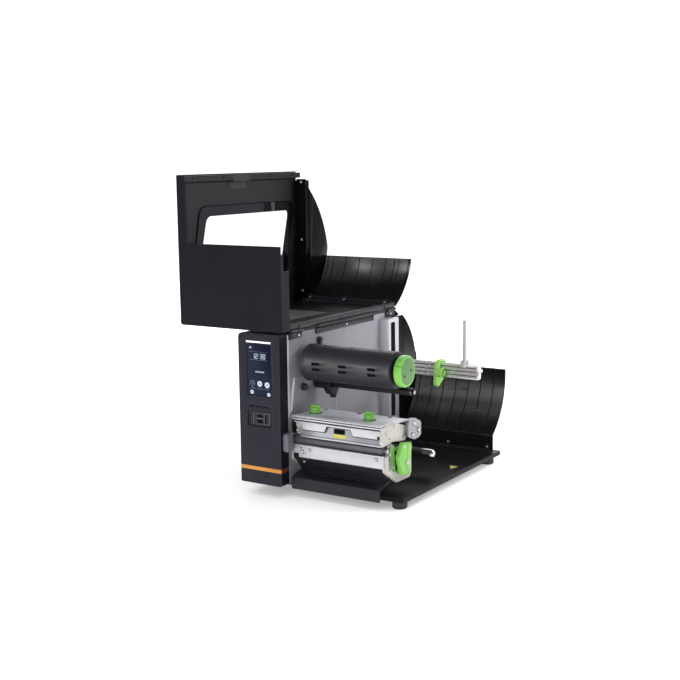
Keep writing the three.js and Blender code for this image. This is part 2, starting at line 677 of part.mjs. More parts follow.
function platenRoller() {
  const { y, z, r, x0, x1 } = PLATEN;
  const shaft = 4;
  return turnedX([
    [0, -32], [shaft, -32], [shaft, x0], [r, x0], [r, x1], [shaft, x1], [shaft, FRAME.right1],
    [0, FRAME.right1],
  ], y, z, 24);
}

function platenEndCap() {
  const shape = roundedOutline(5, 90, 24, 124, 5);
  return alongX(shape, 0.6, 12, 4);
}

function mediaGuideBar() {
  const { y, z, r, x1 } = GUIDE;
  return turnedX([
    [0, GAP], [r + 4, GAP], [r + 4, 4], [r, 5], [r, x1 - 14], [r - 1.2, x1 - 14], [r - 1.2, x1 - 8],
    [r, x1 - 8], [r, x1 - 4], [r - 3, x1], [0, x1],
  ], y, z, 20);
}

add("mechanism_frame_left", frameLeft(), FINISH.casting);
add("mechanism_frame_right", frameRight(), FINISH.casting);
add("lower_front_plate", lowerFrontPlate(), FINISH.zinc);
add("media_tray", mediaTray(), FINISH.black);
add("platen_roller", platenRoller(), FINISH.rubber);
add("platen_pulley", pulley(PLATEN.y, PLATEN.z, MOTOR.platenPulley, 4 + GAP), FINISH.white);
add("platen_end_cap", platenEndCap(), FINISH.greyPlastic);
add("media_guide_bar", mediaGuideBar(), FINISH.satinBlack);

// ---------------------------------------------------------------- print head, hinged at the back

const TILT = { y: 142, z: 128 };         // head pivot axis

function headTopPlate() {
  const { x0, x1, y0, y1, zFront, zBack } = HEAD;
  const t = 2;
  const shape = outline([
    [y0, zFront], [y0, zFront - 7], [y0 + t, zFront - 7], [y0 + t, zFront - t], [y1, zBack - t],
    [y1 + 8, TILT.z + 9], [y1 + 11, TILT.z + 9], [y1 + 2, zBack],
  ]);
  return alongX(shape, x0, x1);
}

// Two stacked front plates of the head, with the stepped joint line between them.
function headCover() {
  const face = new THREE.Shape();
  face.moveTo(5, 144);
  face.lineTo(HEAD.x1 - 2, 144);
  face.lineTo(HEAD.x1 - 2, 129);
  face.lineTo(131, 129);
  face.lineTo(127, 140);
  face.lineTo(77, 140);
  face.lineTo(73, 129.5);
  face.lineTo(26, 129.5);
  face.lineTo(22, 136);
  face.lineTo(12, 136);
  face.lineTo(12, 141);
  return alongY(face, HEAD.y0 + 1, HEAD.y0 + 3);
}

function headCarrier() {
  const plate = box(20, HEAD.x1 - 1, 35, 38, 115.6, 141);
  const lip = box(20, HEAD.x1 - 1, 32, 36, 116, 119);
  const beam = box(12, HEAD.x1 - 2, 58, 110, 122, 134);
  const bridge = box(40, 160, 37, 60, 126, 132);
  return join(plate, lip, beam, bridge);
}

function headSidePlate() {
  const shape = outline([
    [27, 150.5], [32, 118], [58, 119], [60, 121], [92, 116], [107, 115], [114, 124], [TILT.y - 4, 122],
    [TILT.y + 5, 126], [TILT.y + 5, 134], [114, 139], [76, 151.5], [62, 152.5],
  ]);
  return cut(alongX(shape, HEAD.x1 + GAP, HEAD.x1 + 4), rodX(TILT.y, TILT.z, 3 + GAP, 185, 200, 14));
}

// Thermal head: an aluminium bar with the ceramic strip on its lower front edge.
function printhead() {
  return box(20, HEAD.x1 - 1, 40, 56, 118.6, 125.5);
}

// Rear pivot: a rod between a block on the centre plate and the cast arm on the media side.
function headPivotBlock() {
  const rod = rodX(TILT.y, TILT.z, 3, GAP, 200, 14);
  const armOutline = roundedOutline(TILT.y - 24, TILT.z - 18, TILT.y + 11, TILT.z + 21, 6);
  const arm = alongX(armOutline, HEAD.x1 + 4.6, 204, 4);
  const block = box(GAP, 14, TILT.y - 8, TILT.y + 10, 108, 134);
  return join(rod, arm, block);
}

function pressureKnob(x, y) {
  const z0 = 152.2;
  const profile = [[0, z0], [8.5, z0], [9.5, z0 + 1], [9.5, z0 + 9], [8.5, z0 + 10], [0, z0 + 10]];
  const stem = turnedZ(profile, x, y, 18);
  const grip = box(x - 8.5, x + 8.5, y - 2.5, y + 2.5, z0 + 9, z0 + 14.5);
  return join(stem, grip);
}

add("head_top_plate", headTopPlate(), FINISH.zinc);
add("head_cover_plate", headCover(), FINISH.zinc);
add("head_carrier", headCarrier(), FINISH.zinc);
add("head_side_plate", headSidePlate(), FINISH.casting);
add("printhead", printhead(), FINISH.chrome);
add("head_pivot", headPivotBlock(), FINISH.casting);
add("pressure_knob_left", pressureKnob(25, 76), FINISH.green);
add("pressure_knob_right", pressureKnob(141, 73), FINISH.green);

// ---------------------------------------------------------------- head release lever

function headLever() {
  const shape = new THREE.Shape();
  shape.moveTo(73, 60);
  shape.lineTo(96, 55);
  shape.lineTo(101, 60);
  shape.lineTo(103, 86);
  shape.lineTo(108, 107);
  shape.lineTo(104, 113);
  shape.lineTo(79, 117);
  shape.lineTo(75, 114);
  shape.lineTo(62, 93);
  const bore = rodX(LEVER.y, LEVER.z, 3 + GAP, LEVER.x0 - 1, LEVER.x1 + 1, 14);
  return cut(alongX(shape, LEVER.x0, LEVER.x1), bore);
}

add("head_lever", headLever(), FINISH.green);

// ---------------------------------------------------------------- hinge on the top edge

function knuckle(y0, y1) {
  return alongY(circleOutline(HINGE.x, HINGE.z, HINGE.knuckle, HINGE.pin + GAP), y0, y1, 8);
}

function fixedLeaf(y0, y1, knuckle0, knuckle1) {
  const leaf = box(GAP, 2.8, y0, y1, 290, 300);
  const web = box(GAP, 3, knuckle0, knuckle1, 299, 304);
  const bore = alongY(circleOutline(HINGE.x, HINGE.z, HINGE.knuckle - 0.2), knuckle0 - 1, knuckle1 + 1, 8);
  return join(cut(join(leaf, web), bore), knuckle(knuckle0, knuckle1));
}

const LEAVES = { front: [29, 69], rear: [368, 401] };
const KNUCKLES = { front: [29.5, 48], middle: [118, 318], rear: [382, 400.5] };

add("hinge_leaf_front", fixedLeaf(...LEAVES.front, ...KNUCKLES.front), FINISH.satinBlack);
add("hinge_leaf_rear", fixedLeaf(...LEAVES.rear, ...KNUCKLES.rear), FINISH.satinBlack);
add("hinge_cover_strip", box(GAP, 2.8, 116, 320, 290, 299.5), FINISH.satinBlack);
add(
  "hinge_pin",
  alongY(circleOutline(HINGE.x, HINGE.z, HINGE.pin), LEAVES.front[0] - 1, LEAVES.rear[1] + 1, 6),
  FINISH.satinBlack,
);

// ---------------------------------------------------------------- media cover, modelled closed, shown open

const cover = new THREE.Group();
cover.position.set(HINGE.x, 0, HINGE.z);
cover.rotation.y = Math.PI;
printer.add(cover);

function addToCover(name, geometry, material) {
  add(name, geometry.translate(-HINGE.x, 0, -HINGE.z), material, cover);
}

const SIDE = { outer: COVER.x1, inner: COVER.x1 - SHEET };

// Front panel: full-width upper part, a narrow strip down the side, and the stepped return at the hinge.
function coverFront() {
  const { x1, y0, z0, z1, frontCut, strip } = COVER;
  const face = new THREE.Shape();
  face.moveTo(1, frontCut);
  face.lineTo(x1 - strip, frontCut);
  face.lineTo(x1 - strip, z0 + 1);
  face.lineTo(x1, z0 + 1);
  face.lineTo(x1, z1 - 5);
  face.absarc(x1 - 5, z1 - 5, 5, 0, Math.PI / 2, false);
  face.lineTo(1, z1);
  const panel = alongY(face, y0, y0 + WALL, 4);
  const fold = alongX(outline([
    [y0 + 1, z1], [y0 + 1, frontCut + 14], [8, frontCut + 14], [8, 193.5], [24.3, 193.5], [24.3, z1],
  ]), 1, 2.8);
  return join(panel, fold);
}

function coverTop() {
  const { x0, x1, y0, z1 } = COVER;
  const skin = box(x0, x1 - 5.5 - GAP, y0 + WALL + GAP, 403, z1 - 2, z1);
  const hem = box(x0, x0 + 2, 27, 402, z1 - 11, z1 - 1);
  return join(skin, hem);
}

const WINDOW = { z0: 105, z1: 245, lean: 0.26, y0: 80, y1: 350, margin: 20, r: 14 };

// Leaning window outline in (y, z), grown outwards by a margin.
function windowOutline(grow) {
  const { z0, z1, lean, y0, y1 } = WINDOW;
  const corners = [
    [y0 - grow, z0 - grow, y1 + grow, z0 - grow],
    [y1 + grow, z0 - grow, y1 + grow - lean * (z1 - z0), z1 + grow],
    [y1 + grow - lean * (z1 - z0), z1 + grow, y0 - grow - lean * (z1 - z0), z1 + grow],
    [y0 - grow - lean * (z1 - z0), z1 + grow, y0 - grow, z0 - grow],
  ];
  const r = WINDOW.r + grow / 3;
  const shape = new THREE.Shape();
  corners.forEach(([ya, za, yb, zb], i) => {
    const length = Math.hypot(yb - ya, zb - za);
    const [uy, uz] = [(yb - ya) / length, (zb - za) / length];
    const start = [ya + uy * r, za + uz * r];
    if (i === 0) shape.moveTo(...start);
    else shape.quadraticCurveTo(ya, za, ...start);
    shape.lineTo(yb - uy * r, zb - uz * r);
  });
  const [ya, za, yb, zb] = corners[0];
  const length = Math.hypot(yb - ya, zb - za);
  shape.quadraticCurveTo(ya, za, ya + (r * (yb - ya)) / length, za + (r * (zb - za)) / length);
  return shape;
}

function coverSide() {
  const { y0, y1, z0, z1 } = COVER;
  const bend = 5;
  const fold = new THREE.Shape();
  fold.moveTo(SIDE.inner, z0);
  fold.lineTo(SIDE.outer, z0);
  fold.lineTo(SIDE.outer, z1 - bend);
  fold.absarc(SIDE.outer - bend, z1 - bend, bend, 0, Math.PI / 2, false);
  fold.lineTo(SIDE.outer - bend - 0.5, z1);
  fold.lineTo(SIDE.outer - bend - 0.5, z1 - SHEET);
  fold.lineTo(SIDE.outer - bend, z1 - SHEET);
  fold.absarc(SIDE.outer - bend, z1 - bend, bend - SHEET, Math.PI / 2, 0, true);
  const skin = alongY(fold, y0 + WALL + GAP, y1, 4);
  const channel = box(218.5, SIDE.inner + 0.5, 3, y1, 28.7, 39.5);
  const recesses = [28, 119, 271, 349].map((y) => box(217, 220, y, y + 4, 28, 36));
  return cut(join(skin, cut(channel, ...recesses)), alongX(windowOutline(0), 228, 232, 5));
}

// Smoked pane behind the window, wide enough to be glued around its edge.
function coverWindow() {
  return alongX(windowOutline(WINDOW.margin - 2), SIDE.inner - GAP - 2.2, SIDE.inner - GAP, 5);
}

// D-shaped end wall of the round back, with the screwed flange that meets the side panel.
function coverEndWall() {
  const x1 = 219;
  const top = COVER.z1 - 3;
  const low = { y: 253, z: 230, r: 229, from: 63, to: 190 };
  const angle = (z) => Math.asin((z - low.z) / low.r);
  const shape = new THREE.Shape();
  shape.moveTo(374, 45);
  shape.lineTo(409, 45);
  shape.absarc(low.y, low.z, low.r, angle(low.from), angle(low.to), false);
  bulgeArc(shape, BULGE.r, low.to, top);
  shape.lineTo(374, top);
  const rib = box(x1 - 4, x1 - 1, 407, 410, 64, top - 11);
  const seam = box(x1 - 1, SIDE.inner - GAP, 374, 376.5, 45, top - 3);
  return join(alongX(shape, x1 - 2, x1, 14), rib, seam);
}

function coverRearShell() {
  const shape = new THREE.Shape();
  bulgeArc(shape, BULGE.r, SEAM.high, COVER.z1 - 0.5);
  bulgeArc(shape, BULGE.r - WALL, COVER.z1 - 0.5, SEAM.high);
  const ribs = [];
  for (let x = 40; x < 210; x += 28) {
    const rib = new THREE.Shape();
    bulgeArc(rib, BULGE.r - WALL + 0.4, SEAM.high + 6, COVER.z1 - 12);
    bulgeArc(rib, BULGE.r - WALL - 1.4, COVER.z1 - 12, SEAM.high + 6);
    ribs.push(alongX(rib, x, x + 1.6, 10));
  }
  const skin = alongX(shape, COVER.x0 - 3, 216.7, 14);
  return join(skin, ...ribs);
}

function coverHingeLeaf() {
  const leaf = box(5.9, 9.6, LEAVES.front[0], LEAVES.rear[1], 291, 301.5);
  const bodies = [];
  for (const [y0, y1] of [[48.5, 68], [KNUCKLES.middle[0], KNUCKLES.middle[1]], [369, 381.5]]) {
    const web = box(6.2, 9, y0, y1, 301, 304);
    const clear = alongY(circleOutline(HINGE.x, HINGE.z, HINGE.knuckle - 0.2), y0 - 1, y1 + 1, 8);
    bodies.push(cut(web, clear), knuckle(y0, y1));
  }
  const reliefs = [KNUCKLES.front, KNUCKLES.rear].map(([y0, y1]) =>
    alongY(circleOutline(HINGE.x, HINGE.z, HINGE.knuckle + GAP), y0 - 0.4, y1 + 0.4, 8));
  return join(cut(leaf, ...reliefs), ...bodies);
}

function coverGrip() {
  const body = box(226, SIDE.inner - GAP, 151, 207, 40.2, 58);
  const scoop = box(225, 227.4, 155, 203, 43, 55);
  return cut(body, scoop);
}

addToCover("cover_front", coverFront(), FINISH.black);
addToCover("cover_top", coverTop(), FINISH.black);
addToCover("cover_side", coverSide(), FINISH.black);
addToCover("cover_window", coverWindow(), FINISH.window);
addToCover("cover_end_wall", coverEndWall(), FINISH.glossBlack);
addToCover("cover_rear_shell", coverRearShell(), FINISH.glossBlack);
addToCover("cover_hinge_leaf", coverHingeLeaf(), FINISH.satinBlack);
addToCover("cover_grip", coverGrip(), FINISH.satinBlack);

printer.position.set(-ORIGIN.x, -ORIGIN.y, -ORIGIN.z);

export default printer;
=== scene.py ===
"""Industrial label maker with its media cover swung open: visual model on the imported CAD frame.

Sizes are in millimetres in the design frame of the part (x from the centre plate towards the media
side, y from the front of the control column to the back, z up) and are turned into metres in the row
frame by `at`. Pieces of the open cover are given where they are with the cover open.
"""

import json
import math

import bmesh
import bpy
from mathutils import Matrix, Vector


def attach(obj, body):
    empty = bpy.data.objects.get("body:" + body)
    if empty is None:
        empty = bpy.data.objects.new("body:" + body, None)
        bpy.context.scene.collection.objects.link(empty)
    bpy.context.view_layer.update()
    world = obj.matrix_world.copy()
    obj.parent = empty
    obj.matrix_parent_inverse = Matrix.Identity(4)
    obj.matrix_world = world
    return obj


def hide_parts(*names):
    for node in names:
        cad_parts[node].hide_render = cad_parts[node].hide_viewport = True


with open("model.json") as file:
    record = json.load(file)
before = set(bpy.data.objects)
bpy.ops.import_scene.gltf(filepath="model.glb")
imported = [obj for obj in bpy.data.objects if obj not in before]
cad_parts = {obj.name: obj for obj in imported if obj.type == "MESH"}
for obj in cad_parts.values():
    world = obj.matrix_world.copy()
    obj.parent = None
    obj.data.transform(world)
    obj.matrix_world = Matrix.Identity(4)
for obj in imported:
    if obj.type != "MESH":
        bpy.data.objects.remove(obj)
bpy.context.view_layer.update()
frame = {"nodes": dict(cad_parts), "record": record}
nodes = frame["nodes"]

ORIGIN = Vector((1.5, 239.0, 4.5))                       # the row frame's origin in the design frame
MM = 0.001
COVER_BODY = "media_cover"
HEAD = "print_head"
FLIP_Z = 608.0                                           # z of a point with the cover closed, plus open
BULGE = {"y": 332.5, "z": 175.5, "r": 146.5}             # axis and radius of the round back
BRACKET = {"y0": 347, "y1": 387, "z0": 80, "z1": 289}
GLOSS = "gloss_black_plastic"
SATIN = "satin_black_plastic"
DISPLAY = {"z0": 189.5, "z1": 282.0}
RIBBON_AXIS = (79.5, 244)                                # (y, z) of what lies along x
ROLLER_AXIS = (117, 200.5)
GUARD_AXIS = (351, 190.5)
GUIDE_BAR_AXIS = (221, 63)


def show(obj):
    bpy.context.scene.collection.objects.link(obj)


def at(x, y, z):
    return (Vector((x, y, z)) - ORIGIN) * MM


# ---- materials


def srgb(*rgb):
    """Linear colour from 0-255 display values."""
    out = []
    for c in rgb:
        c /= 255.0
        out.append(c / 12.92 if c <= 0.04045 else ((c + 0.055) / 1.055) ** 2.4)
    return (*out, 1.0)


DUST = (0.22, 0.22, 0.23, 1)


class Graph:
    """A small helper for building one material's node tree."""

    def __init__(self, name):
        self.mat = bpy.data.materials.new(name)
        self.mat.use_nodes = True
        self.tree = self.mat.node_tree
        self.bsdf = self.tree.nodes["Principled BSDF"]
        self.out = self.tree.nodes["Material Output"]
        self.coord = self.node("TexCoord").outputs["Object"]

    def put(self, socket, value):
        if isinstance(value, bpy.types.NodeSocket):
            self.tree.links.new(value, socket)
        else:
            socket.default_value = value

    def node(self, kind, inputs=None, **settings):
        n = self.tree.nodes.new("ShaderNode" + kind)
        for key, value in settings.items():
            setattr(n, key, value)
        for key, value in (inputs or {}).items():
            self.put(n.inputs[key], value)
        return n

    def surface(self, inputs):
        for key, value in inputs.items():
            self.put(self.bsdf.inputs[key], value)

    def noise(self, scale, detail=3.0, stretch=None, rough=0.55):
        vector = self.coord
        if stretch is not None:
            vector = self.node("Mapping", {"Vector": self.coord, "Scale": stretch}).outputs[0]
        return self.node(
            "TexNoise", {"Vector": vector, "Scale": scale, "Detail": detail, "Roughness": rough}
        ).outputs[0]

    def spread(self, value, lo, hi):
        """Noise brought from its usual range to lo-hi."""
        return self.remap(value, 0.3, 0.7, lo, hi)

    def remap(self, value, lo, hi, to_lo, to_hi):
        return self.node(
            "MapRange",
            {"Value": value, "From Min": lo, "From Max": hi, "To Min": to_lo, "To Max": to_hi},
        ).outputs[0]

    def math(self, operation, a, b=0.0):
        return self.node("Math", {0: a, 1: b}, operation=operation).outputs[0]

    def mix(self, factor, a, b, blend="MIX"):
        n = self.node("Mix", {0: factor, 6: a, 7: b}, data_type="RGBA", blend_type=blend)
        return n.outputs[2]

    def axis(self, index):
        return self.node("SeparateXYZ", {0: self.coord}).outputs[index]

    def edges(self, radius=0.0009):
        """1 along convex and concave edges, 0 on flat stretches."""
        bevel = self.node("Bevel", {"Radius": radius}, samples=4).outputs[0]
        normal = self.node("NewGeometry").outputs["Normal"]
        dot = self.node("VectorMath", {0: bevel, 1: normal}, operation="DOT_PRODUCT")
        return self.remap(dot.outputs["Value"], 0.995, 0.8, 0.0, 1.0)


def finish(
    name, color, rough, metal=0.0, *, blotch=0.08, blotch_scale=22.0, rough_var=0.1, grain=0.15,
    grain_scale=1100.0, streak=None, streak_amount=0.12, wear_and_edge_highlight=None, wear_and_edge_highlight_amount=0.5, dust=0.0,
    specular=0.5, painted_shade=(),
):
    """Paint, plastic or metal with blotches, grain, brushing, lighter edges that are partly wear and
    partly a painted highlight, dust and painted shade as asked.

    Scales are noise cycles per metre. Each painted shade is (axis, start, end, shade left at the end): a
    fade that darkens the colour where shade falls.
    """
    g = Graph(name)
    large = g.noise(blotch_scale, 4.0)
    fine = g.noise(grain_scale, 2.0)
    shade = g.spread(large, 1.0 - blotch, 1.0 + blotch)
    # Painted shade: each fade darkens the colour along one axis.
    for index, start, end, left in painted_shade:
        shade = g.math("MULTIPLY", shade, g.remap(g.axis(index), start, end, 1.0, left))
    tint = g.node("VectorMath", {0: color[:3], "Scale": shade}, operation="SCALE").outputs[0]
    roughness = g.spread(large, rough - rough_var / 2, rough + rough_var / 2)
    height = fine
    if streak is not None:
        brushed = g.noise(60.0, 5.0, streak, 0.7)
        dull = g.spread(brushed, 1.0 - streak_amount, 1.0 + streak_amount)
        tint = g.node("VectorMath", {0: tint, "Scale": dull}, operation="SCALE").outputs[0]
        roughness = g.math("ADD", roughness, g.spread(brushed, -streak_amount / 2, streak_amount / 2))
        height = g.math("ADD", g.math("MULTIPLY", brushed, 0.7), g.math("MULTIPLY", fine, 0.3))
    if dust:
        specks = g.remap(g.noise(420.0, 2.0), 0.66, 0.72, 0.0, dust)
        tint = g.mix(specks, tint, DUST)
        roughness = g.math("ADD", roughness, g.math("MULTIPLY", specks, 0.3))
    # Lighter edges: partly real edge wear, partly a painted highlight along the edges.
    if wear_and_edge_highlight is not None:
        edge_breakup = g.remap(g.noise(150.0, 3.0), 0.35, 0.65, 0.35, 1.0)
        wear_and_highlight_mask = g.math("MULTIPLY", g.math("MULTIPLY", g.edges(), edge_breakup), wear_and_edge_highlight_amount)
        tint = g.mix(wear_and_highlight_mask, tint, wear_and_edge_highlight)
    bump = g.node("Bump", {"Height": height, "Strength": grain, "Distance": 0.0004}).outputs[0]
    g.surface({"Base Color": tint, "Roughness": roughness, "Normal": bump, "Metallic": metal,
               "Specular IOR Level": specular})
    return g.mat


def glowing(name, color, strength, over=None):
    """A lit surface behind a clear front; `over` is a second colour that it fades to downwards."""
    g = Graph(name)
    tint = color
    if over is not None:
        low, high = (at(0, 0, z).z for z in (DISPLAY["z0"], DISPLAY["z1"]))
        fall = g.remap(g.axis(2), low, high, 1.0, 0.0)
        cloud = g.spread(g.noise(45.0, 2.0), -0.15, 0.15)
        tint = g.mix(g.math("ADD", fall, cloud), color, over)
    smear = g.spread(g.noise(70.0, 4.0), 0.06, 0.16)
    g.surface({"Base Color": tint, "Emission Color": tint, "Emission Strength": strength,
               "Roughness": smear, "Specular IOR Level": 0.15})
    return g.mat


def clear_pane(name, tint):
    """Clear plastic: see-through with a Fresnel reflection and faint smears."""
    g = Graph(name)
    smear = g.spread(g.noise(35.0, 4.0), 0.01, 0.06)
    through = g.node("BsdfTransparent", {"Color": tint})
    shine = g.node("BsdfAnisotropic", {"Color": (1, 1, 1, 1), "Roughness": smear})
    fresnel = g.node("Fresnel", {"IOR": 1.2}).outputs[0]
    both = g.node("MixShader", {0: fresnel, 1: through.outputs[0], 2: shine.outputs[0]})
    g.tree.links.new(both.outputs[0], g.out.inputs["Surface"])
    g.tree.nodes.remove(g.bsdf)
    return g.mat


def print_with_painted_reflection(name, pale, dark, line, step, stripe):
    """Gloss black print with painted reflection: pale then dark along the window, and one light stripe
    of painted reflection in the dark part.
    """
    g = Graph(name)
    place = g.axis(1)
    first, last = (at(0, y, 0).y for y in step)
    tint = g.mix(g.remap(place, first, last, 0.0, 1.0), pale, dark)
    edges = [at(0, y, 0).y for y in stripe]
    rise = g.remap(place, edges[0], edges[0] + 0.001, 0.0, 1.0)
    fall = g.remap(place, edges[1] - 0.001, edges[1], 1.0, 0.0)
    reflection_streaks = g.remap(g.noise(240.0, 2.0, (0.2, 3.0, 0.2)), 0.4, 0.6, 0.25, 1.0)
    tint = g.mix(g.math("MULTIPLY", g.math("MULTIPLY", rise, fall), reflection_streaks), tint, line)
    smear = g.spread(g.noise(60.0, 3.0), 0.12, 0.24)
    g.surface({"Base Color": tint, "Roughness": smear, "Specular IOR Level": 0.12})
    return g.mat


PALE_EDGE = srgb(104, 104, 112)
PAINT = {"grain": 0.3, "grain_scale": 1500.0, "wear_and_edge_highlight": PALE_EDGE}
SATIN_PAINT = {
    "blotch": 0.05, "grain": 0.2, "grain_scale": 1200.0, "rough_var": 0.12, "wear_and_edge_highlight": srgb(225, 225, 228),
    "dust": 0.1}
ZINC = {"blotch_scale": 40.0, "grain_scale": 700.0}
MOULDING = {
    "blotch": 0.06, "grain": 0.2, "grain_scale": 1400.0, "wear_and_edge_highlight": srgb(105, 105, 112),
    "wear_and_edge_highlight_amount": 0.35}
LIME = {"blotch": 0.06, "grain": 0.12, "grain_scale": 1300.0, "rough_var": 0.08, "wear_and_edge_highlight_amount": 0.45}
look = {
    "charcoal_paint": finish(
        "charcoal_powder_coat", srgb(36, 36, 42), 0.42, blotch=0.1, wear_and_edge_highlight_amount=0.3, specular=0.3,
        **PAINT),
    "charcoal_plastic": finish(
        "charcoal_moulding", srgb(48, 47, 56), 0.5, blotch=0.05, grain=0.35, grain_scale=1800.0,
        wear_and_edge_highlight=PALE_EDGE, wear_and_edge_highlight_amount=0.35, specular=0.12),
    "grey_paint": finish("grey_satin_paint", srgb(158, 156, 164), 0.42, specular=0.35, **SATIN_PAINT),
    "gloss_black_plastic": finish(
        "gloss_black_moulding", srgb(13, 11, 14), 0.18, blotch=0.15, blotch_scale=9.0, rough_var=0.06,
        grain=0.02, grain_scale=300.0, wear_and_edge_highlight=srgb(80, 80, 88), wear_and_edge_highlight_amount=0.25, specular=0.13),
    "satin_black_plastic": finish(
        "satin_black_moulding", srgb(46, 46, 52), 0.4, specular=0.35, **MOULDING),
    "black_steel": finish(
        "black_coated_steel", srgb(34, 33, 40), 0.36, blotch=0.1, grain=0.2, grain_scale=1000.0,
        specular=0.35, wear_and_edge_highlight=srgb(120, 118, 122), wear_and_edge_highlight_amount=0.45),
    "zinc_steel": finish(
        "zinc_sheet", srgb(204, 204, 211), 0.34, 0.7, blotch=0.07, rough_var=0.14, grain=0.12,
        streak=(1.0, 14.0, 14.0), streak_amount=0.08, wear_and_edge_highlight=srgb(250, 250, 252), **ZINC),
    "casting": finish(
        "pale_casting", srgb(206, 201, 193), 0.5, 0.25, blotch_scale=60.0, grain=0.5, grain_scale=900.0,
        wear_and_edge_highlight=srgb(240, 236, 230)),
    "chrome": finish(
        "polished_chrome", srgb(236, 232, 230), 0.2, 1.0, blotch=0.04, rough_var=0.08, grain=0.04,
        grain_scale=500.0, streak=(1.0, 20.0, 20.0), streak_amount=0.05),
    "green_plastic": finish("lime_moulding", srgb(132, 204, 88), 0.36, wear_and_edge_highlight=srgb(188, 232, 150), **LIME),
    "platen_rubber": finish(
        "ground_rubber", srgb(96, 94, 104), 0.42, blotch=0.05, grain=0.25, grain_scale=1500.0,
        streak=(1.0, 30.0, 30.0), streak_amount=0.08, specular=0.6),
    "foot_rubber": finish("foot_rubber", srgb(44, 42, 50), 0.7, grain=0.5, grain_scale=1200.0),
    "belt_rubber": finish("belt_rubber", srgb(34, 34, 36), 0.75, grain=0.5, grain_scale=900.0),
    "grey_plastic": finish(
        "grey_blue_moulding", srgb(104, 107, 118), 0.45, grain=0.25, grain_scale=1400.0,
        wear_and_edge_highlight=srgb(150, 152, 160), wear_and_edge_highlight_amount=0.4),
    "orange_plastic": finish(
        "orange_insert", srgb(226, 152, 62), 0.36, blotch=0.07, grain=0.12, wear_and_edge_highlight=srgb(250, 184, 110),
        wear_and_edge_highlight_amount=0.4),
    "circuit_board": finish("solder_resist", srgb(26, 92, 52), 0.4, blotch=0.2, blotch_scale=120.0),
    "white_plastic": finish(
        "pale_moulding", srgb(196, 197, 200), 0.35, grain=0.1, grain_scale=900.0, blotch=0.03,
        wear_and_edge_highlight=srgb(238, 238, 240), wear_and_edge_highlight_amount=0.4),
    "screen": glowing("screen_glow", srgb(22, 25, 44), 0.4, srgb(16, 27, 42)),
    "light_bar": glowing("light_bar_glow", srgb(240, 244, 250), 0.9),
}
COVER_FACE = finish(
    "cover_front_paint", srgb(26, 25, 31), 0.46, rough_var=0.08, wear_and_edge_highlight_amount=0.3, specular=0.14, **PAINT)
SHELL_PANEL = finish(
    "gloss_shell_panel", srgb(6, 6, 7), 0.27, blotch=0.2, blotch_scale=11.0, rough_var=0.08, grain=0.04,
    grain_scale=300.0, wear_and_edge_highlight=srgb(60, 60, 68), wear_and_edge_highlight_amount=0.35, specular=0.24)
COVER_INSIDE = finish(
    "cover_inside_paint", srgb(18, 18, 22), 0.55, blotch=0.12, wear_and_edge_highlight_amount=0.35, specular=0.05, **PAINT)
# The side panel's paint is darkened by painted shade towards the back and downwards with the cover open.
COVER_SIDE = finish(
    "cover_side_paint_with_painted_shade", srgb(30, 29, 34), 0.42, blotch=0.1, wear_and_edge_highlight_amount=0.3, specular=0.2,
    painted_shade=((1, 0.03, 0.13, 0.5), (2, 0.46, 0.34, 0.3)), **PAINT)
HEAD_SHEET = finish(
    "dull_zinc_sheet", srgb(232, 232, 240), 0.42, 0.4, rough_var=0.14, grain=0.12,
    streak=(1.0, 14.0, 14.0), streak_amount=0.1, wear_and_edge_highlight=srgb(235, 235, 238), wear_and_edge_highlight_amount=0.6, **ZINC)
BRIGHT_SHEET = finish(
    "bright_zinc_sheet", srgb(214, 213, 219), 0.4, 0.45, blotch=0.04, grain=0.1,
    wear_and_edge_highlight=srgb(250, 250, 252), **ZINC)
ARM_METAL = finish(
    "satin_steel_block", srgb(146, 145, 149), 0.3, 0.7, blotch=0.06, blotch_scale=60.0,
    wear_and_edge_highlight=srgb(240, 240, 242), wear_and_edge_highlight_amount=0.6)
# Dark joints, slots and holes, and also painted shade: shadow rings behind screws and dark pieces where
# shade falls.
DARK_GAP_AND_SHADE = finish("dark_gap_and_painted_shade", srgb(12, 12, 14), 0.75, blotch=0.1, grain=0.1, specular=0.1)
SLOT_GREY = finish("shaded_slot", srgb(56, 56, 60), 0.6, blotch=0.1, grain=0.2, specular=0.2)
SCREW = finish(
    "bright_screw", srgb(226, 224, 222), 0.3, 0.6, blotch=0.06, blotch_scale=200.0, grain=0.1,
    wear_and_edge_highlight=srgb(245, 245, 246), wear_and_edge_highlight_amount=0.4)
SCREEN_INK = glowing("screen_ink", srgb(172, 184, 200), 0.7)
SCREEN_DIM = glowing("screen_dim", srgb(96, 108, 130), 0.5)
YELLOW = finish("yellow_label", srgb(222, 212, 104), 0.5, grain=0.1, blotch=0.05)
LATCH = finish(
    "green_tinted_latch", srgb(112, 168, 78), 0.36, 0.3, blotch=0.12, blotch_scale=60.0, grain=0.2,
    wear_and_edge_highlight=srgb(222, 226, 208))
LINER_SHEET = finish(
    "cover_liner_sheet", srgb(84, 83, 88), 0.6, blotch=0.14, blotch_scale=90.0, grain=0.5,
    grain_scale=700.0, specular=0.2)
BASE_FACE = finish(
    "base_powder_coat", srgb(22, 22, 27), 0.5, blotch=0.12, grain=0.35, grain_scale=1300.0,
    wear_and_edge_highlight=PALE_EDGE, specular=0.12)
DRUM = finish("drum_moulding", srgb(25, 25, 30), 0.5, specular=0.3, **MOULDING)
COLUMN_SIDE = finish(
    "column_side_skin", srgb(26, 25, 32), 0.5, blotch=0.06, grain=0.3, grain_scale=1500.0, specular=0.08)
SPINDLE = finish(
    "bright_spindle", srgb(236, 232, 231), 0.26, 0.45, blotch=0.03, rough_var=0.06, grain=0.04,
    grain_scale=500.0)
